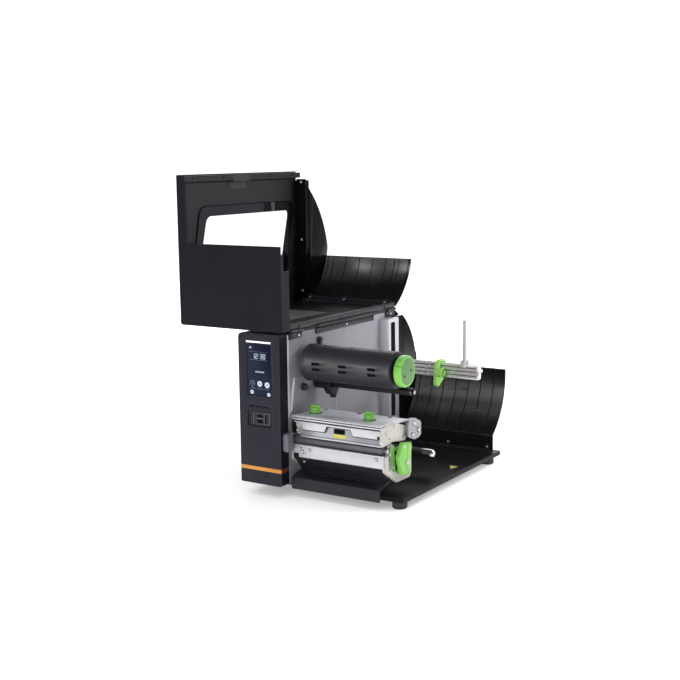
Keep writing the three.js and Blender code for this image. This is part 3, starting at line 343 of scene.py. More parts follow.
# Painted shade: the centre plate's paint darkens towards the front.
PLATE_FACE = finish(
    "plate_satin_paint_with_painted_shade", srgb(176, 174, 182), 0.42, specular=0.3, painted_shade=((1, 0.1, -0.14, 0.58),),
    **SATIN_PAINT)
# A lighter copy of the lime for the roll guard: painted light on a part in shade.
GUARD_GREEN = finish("lime_moulding_painted_light", srgb(176, 244, 124), 0.36, wear_and_edge_highlight=srgb(210, 246, 176), **LIME)
ORANGE_SIDE = finish(
    "shaded_orange_insert", srgb(112, 52, 30), 0.5, blotch=0.07, grain=0.12, specular=0.1)
# The ribbon knob's face is a darker, duller lime than its rim.
KNOB_FACE = finish(
    "darker_lime_face", srgb(96, 142, 84), 0.45, blotch=0.06, grain=0.2, grain_scale=1300.0,
    wear_and_edge_highlight=srgb(170, 214, 140), wear_and_edge_highlight_amount=0.4, specular=0.4)
# Paler copy of the grey paint for the plate's ridges and front band: painted highlight along them.
RIDGE = finish("ridge_painted_highlight", srgb(200, 198, 204), 0.35, blotch=0.04, grain=0.1, wear_and_edge_highlight=srgb(240, 240, 242))
# The pale part and the light stripe of the pane's border are painted reflection on the black print.
PANE_BORDER = print_with_painted_reflection(
    "pane_border_painted_reflection", srgb(52, 50, 55), srgb(11, 9, 13), srgb(104, 102, 108), (260.0, 264.0),
    (287.0, 299.0))
PANE = clear_pane("clear_pane", (0.985, 0.985, 0.99, 1))

# ---- mesh kit

TO_WORLD = {
    "x": lambda a, b, c: (c, a, b),
    "y": lambda a, b, c: (a, c, b),
    "z": lambda a, b, c: (a, b, c),
}


def arc(cx, cy, r, start, end, steps):
    """Points on a circle from one angle to another, in degrees."""
    return [
        (cx + r * math.cos(math.radians(start + (end - start) * i / steps)),
         cy + r * math.sin(math.radians(start + (end - start) * i / steps)))
        for i in range(steps + 1)
    ]


def rounded(a0, b0, a1, b1, r, steps=5):
    """A rectangle with round corners, counter-clockwise."""
    return (
        arc(a1 - r, b0 + r, r, -90, 0, steps) + arc(a1 - r, b1 - r, r, 0, 90, steps)
        + arc(a0 + r, b1 - r, r, 90, 180, steps) + arc(a0 + r, b0 + r, r, 180, 270, steps)
    )


PIECE_SHARP = 40.0     # degrees between faces that still shade as one
NODE_SHARP = 24.0


class Piece:
    """Collects solids in millimetres and turns them into one mesh object."""

    def __init__(self):
        self.bm = bmesh.new()

    def _vert(self, axis, a, b, c):
        return self.bm.verts.new(at(*TO_WORLD[axis](a, b, c)))

    def prism(self, axis, points, lo, hi):
        """An outline in the plane across `axis`, carried from lo to hi."""
        low = [self._vert(axis, a, b, lo) for a, b in points]
        high = [self._vert(axis, a, b, hi) for a, b in points]
        self.bm.faces.new(list(reversed(low)))
        self.bm.faces.new(high)
        count = len(points)
        for i in range(count):
            j = (i + 1) % count
            self.bm.faces.new((low[i], low[j], high[j], high[i]))
        return self

    def ring(self, axis, outer, inner, lo, hi):
        """A flat ring between two outlines that have the same number of points."""
        outer_lo, outer_hi, inner_lo, inner_hi = (
            [self._vert(axis, a, b, c) for a, b in line] for line in (outer, inner) for c in (lo, hi))
        count = len(outer)
        for i in range(count):
            j = (i + 1) % count
            self.bm.faces.new((outer_lo[i], outer_lo[j], outer_hi[j], outer_hi[i]))
            self.bm.faces.new((inner_hi[i], inner_hi[j], inner_lo[j], inner_lo[i]))
            self.bm.faces.new((outer_hi[i], outer_hi[j], inner_hi[j], inner_hi[i]))
            self.bm.faces.new((inner_lo[i], inner_lo[j], outer_lo[j], outer_lo[i]))
        return self

    def box(self, x0, x1, y0, y1, z0, z1):
        return self.prism("z", [(x0, y0), (x1, y0), (x1, y1), (x0, y1)], z0, z1)

    def lathe(self, axis, a, b, profile, steps=24):
        """(radius, place) pairs turned about `axis` through (a, b); both ends close on the axis."""
        rows = []
        for r, c in profile:
            if r == 0:
                rows.append([self._vert(axis, a, b, c)])
            else:
                rows.append([self._vert(axis, p, q, c) for p, q in arc(a, b, r, 0, 360, steps)[:-1]])
        for one, two in zip(rows, rows[1:]):
            for i in range(steps):
                j = (i + 1) % steps
                corners = [one[i % len(one)], one[j % len(one)], two[j % len(two)], two[i % len(two)]]
                unique = list(dict.fromkeys(corners))
                if len(unique) > 2:
                    self.bm.faces.new(unique)
        return self

    def rod(self, axis, a, b, r, lo, hi, steps=20):
        return self.lathe(axis, a, b, [(0, lo), (r, lo), (r, hi), (0, hi)], steps)

    def hoop(self, axis, a, b, r_out, r_in, lo, hi, points):
        """A flat round ring."""
        outer, inner = (arc(a, b, r, 0, 360 - 360 / points, points - 1) for r in (r_out, r_in))
        return self.ring(axis, outer, inner, lo, hi)

    def screw(self, axis, a, b, place, r, out=1):
        """A pan head with a cross recess, standing `out` way from the surface at `place`."""
        h = r * 0.55 * out
        self.lathe(
            axis, a, b,
            [(0, place - 0.2 * out), (r, place - 0.2 * out), (r, place + h * 0.55),
             (r * 0.82, place + h), (r * 0.3, place + h * 1.08), (r * 0.24, place + h * 0.5),
             (0, place + h * 0.5)], 18)
        return self

    def tube(self, path, r, steps=10):
        """A round wire along a list of (x, y, z) points."""
        points = [Vector(p) for p in path]
        rows = []
        for i, p in enumerate(points):
            ahead = (points[min(i + 1, len(points) - 1)] - points[max(i - 1, 0)]).normalized()
            side = ahead.orthogonal() if i == 0 else side - ahead * side.dot(ahead)
            side.normalize()
            up = ahead.cross(side)
            rows.append([
                self.bm.verts.new(at(*(p + side * (r * math.cos(t)) + up * (r * math.sin(t)))))
                for t in (2 * math.pi * k / steps for k in range(steps))
            ])
        for one, two in zip(rows, rows[1:]):
            for i in range(steps):
                j = (i + 1) % steps
                self.bm.faces.new((one[i], one[j], two[j], two[i]))
        self.bm.faces.new(list(reversed(rows[0])))
        self.bm.faces.new(rows[-1])
        return self

    def make(self, name, material, body="chassis", slot=None, bevel=0.0, replaces=()):
        """`material` goes with its slot's name, or is a slot's name, which then stands for both."""
        if slot is None:
            slot, material = material, look[material]
        bmesh.ops.recalc_face_normals(self.bm, faces=self.bm.faces)
        mesh = bpy.data.meshes.new(name)
        self.bm.to_mesh(mesh)
        self.bm.free()
        obj = bpy.data.objects.new(name, mesh)
        show(obj)
        mesh.materials.append(material)
        mesh.shade_smooth()
        mesh.set_sharp_from_angle(angle=math.radians(PIECE_SHARP))
        if bevel:
            soften(obj, bevel)
        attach(obj, body)
        if replaces:
            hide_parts(*replaces)
        return obj


def screws(name, axis, spots, out=1, body="chassis", material=None):
    """One object of pan-head screws; each spot is (a, b, place, r)."""
    piece = Piece()
    for a, b, place, r in spots:
        piece.screw(axis, a, b, place, r, out)
    piece.make(name, material or SCREW, body, "zinc_steel")


BEVEL = {
    "segments": 2, "limit_method": "ANGLE", "angle_limit": math.radians(32.0),
    "miter_outer": "MITER_ARC", "use_clamp_overlap": True, "harden_normals": True,
}


def soften(obj, width):
    bevel = obj.modifiers.new("bevel", "BEVEL")
    bevel.width = width * MM
    for key, value in BEVEL.items():
        setattr(bevel, key, value)


# ---- CAD nodes: materials and soft edges

SOFT_EDGE_NODES = {
    0.35: "spindle_bracket",
    0.4: "center_plate",
    0.5: "cover_side cover_top housing_cover ribbon_spindle media_tray head_top_plate",
    0.6: "power_switch",
    0.7: "base_plate supply_spindle",
    0.8: "cover_front mechanism_frame_left head_side_plate cover_grip",
    1.0: ("head_pivot pressure_knob_left pressure_knob_right roll_guard foot_front_left "
         "foot_front_right foot_rear_left foot_rear_right ribbon_roller_bracket drive_motor"),
    1.2: "front_column mechanism_frame_right ribbon_knob",
    1.6: "head_lever platen_end_cap",
}
SOFT_EDGE = {name: width for width, names in SOFT_EDGE_NODES.items() for name in names.split()}
OTHER_EDGE = 0.3
LARGE_FLAT = ("housing_cover", "center_plate", "cover_side", "cover_top", "base_plate", "cover_front")
SPECIAL = {
    "base_plate": BASE_FACE, "center_plate": PLATE_FACE, "cover_front": COVER_FACE,
    "cover_top": COVER_INSIDE, "cover_side": COVER_SIDE, "roll_guard": GUARD_GREEN,
    "supply_spindle": SPINDLE, "ribbon_spindle": DRUM, "ribbon_roller": DRUM,
    "ribbon_roller_bracket": DRUM, "head_top_plate": HEAD_SHEET, "head_cover_plate": BRIGHT_SHEET,
    "lower_front_plate": BRIGHT_SHEET, "spindle_bracket": BRIGHT_SHEET,
}
slot_of = {s["node"]: s["material_slot"] for s in frame["record"]["subparts"]}

for name, obj in nodes.items():
    obj.data.materials.clear()
    obj.data.materials.append(SPECIAL.get(name) or look.get(slot_of[name], PANE))
    obj.data.shade_smooth()
    obj.data.set_sharp_from_angle(angle=math.radians(NODE_SHARP))
    weld = obj.modifiers.new("weld", "WELD")
    weld.merge_threshold = 1e-6
    flat = obj.modifiers.new("flat", "DECIMATE")
    flat.decimate_type = "DISSOLVE"
    flat.angle_limit = math.radians(0.4)
    soften(obj, SOFT_EDGE.get(name, OTHER_EDGE))
    if name in LARGE_FLAT:
        even = obj.modifiers.new("even_normals", "WEIGHTED_NORMAL")
        even.keep_sharp = True

# ---- cover: window


def window_outline(grow, steps=7):
    """Leaning window with round corners in (y, z) with the cover open."""
    z0, z1, lean, y0, y1 = 105, 245, 0.26, 80, 350
    shift = lean * (z1 - z0)
    corners = [
        (y0 - grow, z0 - grow), (y1 + grow, z0 - grow), (y1 + grow - shift, z1 + grow),
        (y0 - grow - shift, z1 + grow),
    ]
    r = 14 + grow / 3
    points = []
    for i, (y, z) in enumerate(corners):
        before, after = Vector(corners[i - 1]), Vector(corners[(i + 1) % 4])
        here = Vector((y, z))
        a = here + (before - here).normalized() * r
        b = here + (after - here).normalized() * r
        for k in range(steps + 1):
            t = k / steps
            points.append(tuple(a * (1 - t) ** 2 + here * (2 * t * (1 - t)) + b * t * t))
    return [(y, FLIP_Z - z) for y, z in points]


Piece().ring("x", window_outline(18), window_outline(-0.6), -220, -217.8).make(
    "window_border", PANE_BORDER, COVER_BODY, GLOSS, bevel=0.6)
Piece().prism("x", window_outline(1.5), -219.6, -218.6).make(
    "window_pane", PANE, COVER_BODY, "smoked_pane", replaces=("cover_window",))

# ---- control column

INK = (0.1, 0.38)           # depths between which the display's marks lie
DIM_INK = (0.2, 0.38)
BAY_MARK = (0.9, 1.25)
BAY_TRIM = (1.1, 1.6)
COLUMN_SIDE_SKIN = (-0.05, 0.12)
SEGMENTS = {"0": "abcdef", "1": "bc", "2": "abged", "3": "abgcd"}


def digit(piece, symbol, x, z, w=4.6, h=9, t=0.9):
    """One seven-bar clock digit on the screen."""
    mid = z + h / 2
    bars = {
        "a": (x, x + w, z + h - t, z + h), "g": (x, x + w, mid - t / 2, mid + t / 2),
        "d": (x, x + w, z, z + t), "b": (x + w - t, x + w, mid, z + h), "c": (x + w - t, x + w, z, mid),
        "f": (x, x + t, mid, z + h), "e": (x, x + t, z, mid),
    }
    for key in SEGMENTS[symbol]:
        x0, x1, z0, z1 = bars[key]
        piece.box(x0, x1, *INK, z0, z1)


def disc(piece, x, z, r, hole=0):
    if hole:
        piece.hoop("y", x, z, r, hole, *INK, 16)
    else:
        piece.rod("y", x, z, r, *INK, 18)


clock = Piece()
for symbol, x in zip("1230", (-58.5, -52, -41.5, -35)):
    digit(clock, symbol, x, 256.8)
clock.box(-45, -44.1, *INK, 258.6, 259.5).box(-45, -44.1, *INK, 262.8, 263.7)
clock.make("screen_clock", SCREEN_INK, slot="screen")

marks = Piece()
for i in range(5):
    disc(marks, -51 + 4 * i, 233, 1.3)
for x, z, r, hole in ((-43.6, 211.5, 5.2, 1.6), (-27.4, 210.5, 5.2, 1.6), (-61, 195.5, 3.6, 1.2),
                      (-24, 193, 3.6, 1.2)):
    disc(marks, x, z, r, hole)
marks.box(-65.5, -61, *INK, 275, 276.6).box(-63.5, -60.5, *INK, 277.2, 278.2)
marks.make("screen_buttons", SCREEN_INK, slot="screen")

dim = Piece()
disc(dim, -59.3, 211.8, 5.2, 4.3)
disc(dim, -59.3, 211.8, 2.2, 1.4)
for i in range(12):
    dim.box(-66 + 3.5 * i, -64.2 + 3.5 * i, *DIM_INK, 268.8, 269.4)
dim.box(-66, -26, *DIM_INK, 254.2, 254.8).box(-66, -24, *DIM_INK, 201.6, 202)
for x in (-59.3, -43.6, -27.4):
    dim.box(x - 3.5, x + 3.5, *DIM_INK, 203.8, 204.5)
dim.make("screen_lines", SCREEN_DIM, slot="screen")

Piece().ring(
    "y", rounded(-71.6, 188.9, -17.4, 282.6, 1.6), rounded(-70.4, 190.1, -18.6, 281.4, 1.2), -0.05, 0.45
).make("screen_frame", GLOSS)

dashes = Piece()
for x in (-66.5, -52.5, -38):
    dashes.box(x, x + 10, *BAY_MARK, 168.6, 170.4)
for x, z in ((-57.5, 38), (-34.5, 38.6)):
    dashes.box(x, x + 1.6, -0.05, 0.3, z, z + 5)
for x0, x1, z0, z1 in ((-20.2, -19.4, 134, 160), (-71.6, -70.8, 134, 160),
                       (-71, -20, 160, 160.7), (-71, -20, 132.8, 133.5)):
    dashes.box(x0, x1, -0.04, 0.2, z0, z1)
dashes.make("column_dark_marks", DARK_GAP_AND_SHADE, slot=SATIN)

trim = Piece()
trim.box(-60.2, -58.6, *BAY_TRIM, 136.5, 157)
trim.box(-52, -38.5, *BAY_TRIM, 147.6, 148.6)
trim.ring(
    "y", rounded(-37, 137, -24, 157.5, 1), rounded(-36, 138, -25, 156.5, 0.6), *BAY_TRIM)
trim.make("bay_trim", "grey_plastic", bevel=0.15)

side = Piece()
for z0, z1 in ((59.4, 298.6), (29.6, 50.2)):
    side.box(*COLUMN_SIDE_SKIN, 2.2, 24.6, z0, z1)
side.make("column_side_skin", COLUMN_SIDE, slot="charcoal_plastic")
# Painted shade: the orange strip's side face is a darker orange sheet.
Piece().box(*COLUMN_SIDE_SKIN, 2, 24.6, 51.3, 58.2).make(
    "accent_side_shade_skin", ORANGE_SIDE, slot="orange_plastic")

# ---- centre plate

flange = Piece().box(0, 0.5, 25.4, 30.2, 150, 299)
flange.make("plate_front_band", RIDGE, slot="grey_paint", bevel=0.15)
Piece().lathe(
    "x", 73.5, 197.8,
    [(0, 0), (7.2, 0), (7.2, 1.5), (5.2, 2), (5.2, 3.5), (6.4, 4.2), (6.4, 8), (5.4, 9), (0, 9)]
).make("plate_stud", SATIN)
peg = Piece().lathe("x", 126, 279, [(0, 0), (4.6, 0), (4.6, 7), (3.6, 8), (0, 8)], 20)
peg.prism(
    "x", [(120.5, 266.5), (131.5, 266.5), (129, 272), (128, 279), (124, 279), (123, 272)], 0, 6.5)
peg.make("plate_peg", SATIN, bevel=0.4)

RIDGES = [
    (0.9, [(221, 289), (214, 282), (206, 272), (199, 262), (194, 250), (191, 238)]),
    (0.9, [(183, 134), (183, 156)]),
    (1, [(32.5, 158), (35, 188), (43.5, 219), (45.5, 219), (45, 206)]),
]
ridges = Piece()
for r, line in RIDGES:
    ridges.tube([(0.5, y, z) for y, z in line], r)
ridges.make("plate_ridges", RIDGE, slot="grey_paint")
Piece().prism("x", [(33, 160), (36.5, 160), (45.5, 212), (43, 217)], 0.1, 1.2).make(
    "plate_bright_strip", BRIGHT_SHEET, slot="zinc_steel", bevel=0.3)

screws("hinge_fixed_screws", "x",
       [(59, 295.4, 2.8, 2.3), (218.8, 295.6, 2.8, 2.3), (386, 295.4, 2.8, 2.3)])
screws("hinge_cover_screws", "x", [(y, 311.6, 3.1, 2.2) for y in (61, 200, 363)],
       body=COVER_BODY, material=look["black_steel"])

y0, z0, y1, z1 = BRACKET["y0"] + 9, BRACKET["z0"] + 7, BRACKET["y1"] - 14, BRACKET["z1"] - 7
slot_floor = Piece().prism("x", rounded(y0 + 0.1, z0 + 0.1, y1 - 0.1, z1 - 0.1, 1.4), 13.9, 14.3)
slot_floor.box(14.1, 20.7, y1 - 0.5, y1 + 0.05, z0 + 1.6, z1 - 1.6)
slot_floor.make("bracket_slot_floor", SLOT_GREY, slot="black_steel")

# ---- rounded back: ribbed shells

SHEET_IN = 145.3             # inner radius of a shell's backing sheet; its outer one is the bulge's
PANELS = (143.6, 145.2)      # radii of the panels on it
JOINTS = (144.9, 145.4)
SEALS = (144.2, 146.2)
JOINT_HALF = 0.7             # from a joint's middle to the panel beside it
FOOT = {"y0": 420, "y1": 422.5}


def back_arc(r, z0, z1, steps, turned):
    """Points on the round back from z0 to z1; `turned` gives them as the open cover carries them."""
    a0, a1 = (math.asin((z - BULGE["z"]) / r) for z in (z0, z1))
    points = []
    for i in range(steps + 1):
        a = a0 + (a1 - a0) * i / steps
        y, z = BULGE["y"] + r * math.cos(a), BULGE["z"] + r * math.sin(a)
        points.append((y, FLIP_Z - z) if turned else (y, z))
    return points


def back_band(piece, r_in, r_out, z0, z1, x0, x1, turned=False, steps=16):
    inner = back_arc(r_in, z0, z1, steps, turned)
    outer = back_arc(r_out, z0, z1, steps, turned)
    piece.prism("x", inner + outer[::-1], x0, x1)


def ribbed_back(name, cuts, z0, z1, x0, x1, turned, body, node, extra=None, bare=0):
    """Panels between dark joints, on a backing sheet that stays `bare` along its high edge."""
    skin = Piece()
    back_band(skin, SHEET_IN, BULGE["r"], z0, z1, x0, x1, turned)
    if extra:
        extra(skin)
    edges = [x0 - JOINT_HALF] + list(cuts) + [x1 + JOINT_HALF - bare]
    panels = Piece()
    for a, b in zip(edges, edges[1:]):
        back_band(panels, *PANELS, z0 + 0.3, z1 - 0.3, a + JOINT_HALF, b - JOINT_HALF, turned, 24)
    skin.make(name + "_backing", GLOSS, body, bevel=0.3)
    panels.make(name, SHELL_PANEL, body, GLOSS, bevel=0.35, replaces=(node,))
    joints = Piece()
    for x in cuts:
        back_band(joints, *JOINTS, z0 + 0.3, z1 - 0.3, x - 0.65, x + 0.65, turned, 24)
    joints.make(name + "_joints", DARK_GAP_AND_SHADE, body, GLOSS)


def lower_foot(piece):
    y0, y1 = FOOT["y0"], FOOT["y1"]
    piece.prism("x", [(y0, 27.3), (y1, 27.3), (y1, 60), (y0, 60)], 12.3, 216)


ribbed_back("lower_shell", (23, 51, 79, 107, 135, 163, 191), 60, 184.5, 12.3, 216, False, "chassis",
            "lower_rear_shell", lower_foot)
ribbed_back("cover_shell", (-201, -187, -156, -122, -89, -57, -36, -25.5), 208.5, 300.6, -207.6, 2, True,
            COVER_BODY, "cover_rear_shell", bare=5.6)


def clip_buttons(name, body, spots, profile):
    piece = Piece()
    for x, y, z in spots:
        piece.lathe("y", x, z, [(r, y + d) for r, d in profile], 16)
    piece.make(name, SATIN, body)


clip_buttons("lower_shell_clips", "chassis",
             ((93, 470.6, 134), (127, 470.6, 137), (88, 456.4, 103), (165, 454, 98), (50, 470.6, 134)),
             ((0, -1.6), (1.6, -1.4), (2.8, -0.4), (3.2, 3), (0, 3)))
clip_buttons("cover_shell_clips", COVER_BODY,
             [(x, 470, 391) for x in (-198, -173, -140, -106, -73, -42, -15)],
             ((0, 0), (1.6, 0.2), (2.8, 1.2), (3.2, 5.5), (0, 5.5)))

foot_trim = Piece().box(14, 214, 418.6, 420.2, 58.6, 60.4).box(14, 214, 418.8, 420.2, 29, 30.6)
foot_trim.make("lower_shell_trim", SATIN, bevel=0.3)
screws("lower_shell_screws", "y", [(x, 36.2, FOOT["y0"], 2.4) for x in (30, 117, 204)], -1)

seal = Piece()
back_band(seal, *SEALS, 61, 184, 11.8, 12.6)
seal.prism("x", [(420.2, 27.5), (422.3, 27.5), (422.3, 60), (420.2, 60)], 11.8, 12.6)
seal.make("lower_shell_seal", GLOSS)
seal = Piece()
back_band(seal, *SEALS, 209, 300, -208.4, -207.2, True)
seal.make("cover_shell_seal", GLOSS, COVER_BODY)

# ---- cover: side panel, end wall and top

SIDE_FACE = (-220.6, -219.6)      # x of what is let into the side panel's inner face
SHELF_Z = 308.6                   # the top panel's inner face, which faces up with the cover open

seam = Piece()
for y1, z0, z1 in ((23.6, 461, 567.6), (379, 566.2, 567.8)):
    seam.box(-220.6, -220.25, 22, y1, z0, z1)
seam.make("cover_side_seam", DARK_GAP_AND_SHADE, COVER_BODY, "charcoal_paint")
grip = Piece().prism("x", rounded(152, 566.6, 206, 580.4, 2), -209.6, -208.8)
grip.prism("x", rounded(152, 551.8, 206, 566.2, 2), *SIDE_FACE)
grip.make("cover_grip_flap", "charcoal_paint", COVER_BODY, bevel=0.5, replaces=("cover_grip",))
hem = Piece().box(-209.7, -209.3, 4, 378, 578, 578.8)
hem.make("cover_channel_line", DARK_GAP_AND_SHADE, COVER_BODY, "charcoal_paint")
border_line = Piece().ring("x", window_outline(19.4), window_outline(18.2), *SIDE_FACE)
border_line.make("window_border_line", DARK_GAP_AND_SHADE, COVER_BODY, GLOSS)

wall = Piece().box(-218.4, -195.6, 378, 380.4, 316, 566)
wall.prism("y", rounded(-212.4, 318, -209.8, 564, 1.2, 3), 377.5, 378.2)
wall.prism("y", rounded(-204.4, 318, -202.4, 564, 0.9, 3), 377.5, 378.2)
wall.box(-197.2, -195.6, 376.8, 380, 316, 566)
wall.make("cover_wall_flange", GLOSS, COVER_BODY, bevel=0.4)
screws("cover_wall_screws", "y",
       [(-206.4, 559.4, 378, 2.7), (-207, 440, 378, 2.7), (-206.4, 332.7, 378, 2.7)], -1,
       COVER_BODY)

rails = Piece()
for x0, x1, top in ((-5.6, -3.4, 311.4), (-12.6, -11, 310.6), (-20.5, -18, 312.2),
                    (-31, -29.6, 310.2)):
    rails.box(x0, x1, 30, 398, SHELF_Z, top)
rails.make("cover_top_rails", SATIN, COVER_BODY, bevel=0.3)
shelf = Piece()
for x0, x1, y0, y1, z1 in (
    (-207, -4, 401, 403.2, 319), (-207, -4, 392, 402, 309.8),
    (-207.6, -199, 396, 403, 322), (-220.8, -196, 376.8, 403, 317.6),
):
    shelf.box(x0, x1, y0, y1, SHELF_Z, z1)
for x in (-117, -18, -201):
    shelf.prism("y", rounded(x - 5, 308.8, x + 5, 321.5, 3), 398.8, 402)
    for x0 in (x - 3.4, x + 2.2):
        shelf.box(x0, x0 + 1.2, 393, 400, 308.8, 316)
shelf.make("cover_shell_flange", SATIN, COVER_BODY, bevel=0.4)
Piece().box(-204, -67, 40, 258, SHELF_Z, 309.1).make(
    "cover_liner_sheet", LINER_SHEET, COVER_BODY, "charcoal_paint", bevel=0.15)
screws("cover_shell_screws", "y",
       [(-117, 315.4, 398.8, 2.7), (-18, 315.2, 398.8, 2.7), (-201, 316.2, 396, 2.7)], -1,
       COVER_BODY)

# ---- ribbon and label supply

Piece().lathe(
    "x", *ROLLER_AXIS,
    [(0, 201.6), (6.2, 201.6), (6.2, 203.4), (4.6, 204.4), (4.6, 207.4), (3.8, 208), (0, 208)]
).make("ribbon_roller_tip", "chrome", "guide_roller")
Piece().hoop("x", *ROLLER_AXIS, 7.2, 5.6, 204.6, 206.6, 24).make(
    "ribbon_roller_ring", DARK_GAP_AND_SHADE, "guide_roller", SATIN, bevel=0.2)
rail = Piece().prism("x", rounded(107, 207.9, 117.5, 213.6, 1.2, 3), 30, 196)
rail.make("ribbon_guard_rail", DRUM, slot="black_steel", bevel=0.3)
grooves = Piece()
for z in (186.9, 194.5, 202.1):
    grooves.box(21.6, 207, 365.6, 366.05, z - 0.9, z + 0.9)
grooves.make("spindle_grooves", DARK_GAP_AND_SHADE, slot="black_steel")
Piece().hoop("x", *GUARD_AXIS, 9.4, 7.2, 143.7, 144.25, 24).make(
    "guard_knob_ring", DARK_GAP_AND_SHADE, "guard", SATIN)
centre = Piece().lathe("x", *GUARD_AXIS, [(0, 142.9), (6.8, 142.9), (6.8, 144.4), (6, 145), (0, 145)])
centre.ring("x", arc(*GUARD_AXIS, 4.6, 20, 300, 20), arc(*GUARD_AXIS, 3.4, 20, 300, 20), 144.8, 145.5)
centre.make("guard_knob_centre", "green_plastic", "guard", bevel=0.2)
Piece().hoop("x", *RIBBON_AXIS, 24.6, 23.8, 214.9, 215.7, 36).make(
    "ribbon_knob_rim", "green_plastic", "ribbon", bevel=0.2)
Piece().lathe(
    "x", *RIBBON_AXIS, [(0, 215), (23.6, 215), (23.6, 215.45), (23, 215.6), (0, 215.6)], 40
).make("ribbon_knob_face", KNOB_FACE, "ribbon", "green_plastic")
holes = Piece()
for dy in (-11, 11):
    holes.rod("x", RIBBON_AXIS[0] + dy, RIBBON_AXIS[1] - 3 + dy * 0.35, 2.3, 213.6, 215.75)
holes.make("ribbon_knob_holes", DARK_GAP_AND_SHADE, "ribbon", SATIN)
# Painted shade: dark floors in the drum's pockets stand in for the shade inside them.
pockets = Piece()
for x in (37, 93, 153):
    for dz in (-7, 3):
        pockets.box(x + 0.3, x + 15.7, 48.8, 49.2, 242.3 + dz, 246.7 + dz)
pockets.make("ribbon_pocket_floors", DARK_GAP_AND_SHADE, "ribbon", SATIN)
cap = Piece().lathe(
    "x", *GUIDE_BAR_AXIS,
    [(0, 170), (8.5, 170), (8.5, 186.5), (7.9, 187.2), (7.9, 188.8), (6.4, 190.2), (4.6, 191.6),
     (0, 191.6)])
cap.lathe("x", *GUIDE_BAR_AXIS, [(0, 166), (8.3, 166), (8.3, 168.2), (0, 168.2)])
cap.make("guide_bar_caps", "chrome")

# ---- print head

HEAD_FRONT = {"y": 31, "z": 153.5}
HEAD_SLOPE = 6.5 / 99


def head_top(y):
    """Height of the head's top plate, which falls towards the back."""
    return HEAD_FRONT["z"] - (y - HEAD_FRONT["y"]) * HEAD_SLOPE


slabs = Piece()
for z0, z1, y in ((151.1, 152.9, 30.2), (146.9, 149.6, 30)):
    slabs.box(3.6, 188.4, y, 31.4, z0, z1)
slabs.make("head_front_layers", BRIGHT_SHEET, HEAD, "zinc_steel", bevel=0.25)
head_gaps_and_shade = Piece().box(3.8, 188.2, 30.8, 31.2, 145.2, 152)
path = ((22, 136), (26, 129.2), (73, 129.2), (77, 139.8), (127, 139.8), (131, 128.8), (182, 128.8))
for (x0, z0), (x1, z1) in zip(path, path[1:]):
    x0, x1 = x0 - 0.5, x1 + 0.5
    head_gaps_and_shade.prism("y", [(x0, z0 - 0.6), (x1, z1 - 0.6), (x1, z1 + 0.6), (x0, z0 + 0.6)], 31.8, 35)
head_gaps_and_shade.box(21, 188, 31.8, 36, 114.9, 115.9)
# Painted shade: the dark block at the head's left end; the rest are dark joints and a black square.
head_gaps_and_shade.box(181.6, 186.4, 31.6, 33, 129.5, 134.8).box(3.6, 11.8, 33, 38, 121, 141)
head_gaps_and_shade.make("head_dark_joints_and_shade", DARK_GAP_AND_SHADE, HEAD, "black_steel")
Piece().box(92, 113.4, 32.6, 35.2, 129.4, 137.6).box(95, 110.4, 31.8, 34, 130.8, 136.2).make(
    "head_connector", DARK_GAP_AND_SHADE, HEAD, SATIN, bevel=0.3)
Piece().prism("y", rounded(89, 121.6, 115.4, 128.4, 0.8), 34.6, 35.1).make(
    "head_label", YELLOW, HEAD, "white_plastic", bevel=0.1)
HEAD_SIDE_X = 194
fittings = Piece()
for x, z, y, r in ((15.6, 127.4, 33.4, 3.4), (189.4, 123.8, 33.6, 3.4), (189.2, 133.2, 33, 2.4)):
    fittings.screw("y", x, z, y, r, -1)
for y, z, r in ((69.6, 146.6, 2.4), (42, 140, 2.2), (100, 121.5, 1.8)):
    fittings.screw("x", y, z, HEAD_SIDE_X, r)
fittings.make("head_screws", SCREW, HEAD, "zinc_steel")
# Painted shadow rings behind the head's screws, and two small dark holes.
screw_shadows = Piece().rod("y", 15.6, 127.4, 4.7, 33.45, 33.8).rod("y", 189.4, 123.8, 4.7, 33.65, 34)
for y, z, r, end in (
    (69.6, 146.6, 3.4, 194.15), (42, 140, 3.2, 194.15), (100, 121.5, 2.7, 194.15),
    (112, 136, 1.7, 194.2), (52, 128, 1.4, 194.2),
):
    screw_shadows.rod("x", y, z, r, HEAD_SIDE_X - 0.1, end)
screw_shadows.make("head_screw_shadows", DARK_GAP_AND_SHADE, HEAD, "black_steel")
lug = Piece().prism("y", rounded(12, 121, 20, 135.4, 1.6), 33.6, 37)
lug.prism("y", rounded(185.4, 119.8, 193, 137.4, 3), 32.8, 36)
lug.prism("x", [(46.5, 134.6), (56, 134), (56, 139.6), (46.5, 140.4)], 193.9, 194.7)
lug.make("head_lugs", "casting", HEAD, bevel=0.5)


def raised_strip(piece, y0, y1, h, x0, x1):
    """A strip across the head's top plate, `h` above it."""
    low, high = head_top(y0), head_top(y1)
    piece.prism("x", [(y0, low - 0.1), (y1, high - 0.1), (y1, high + h), (y0, low + h)], x0, x1)


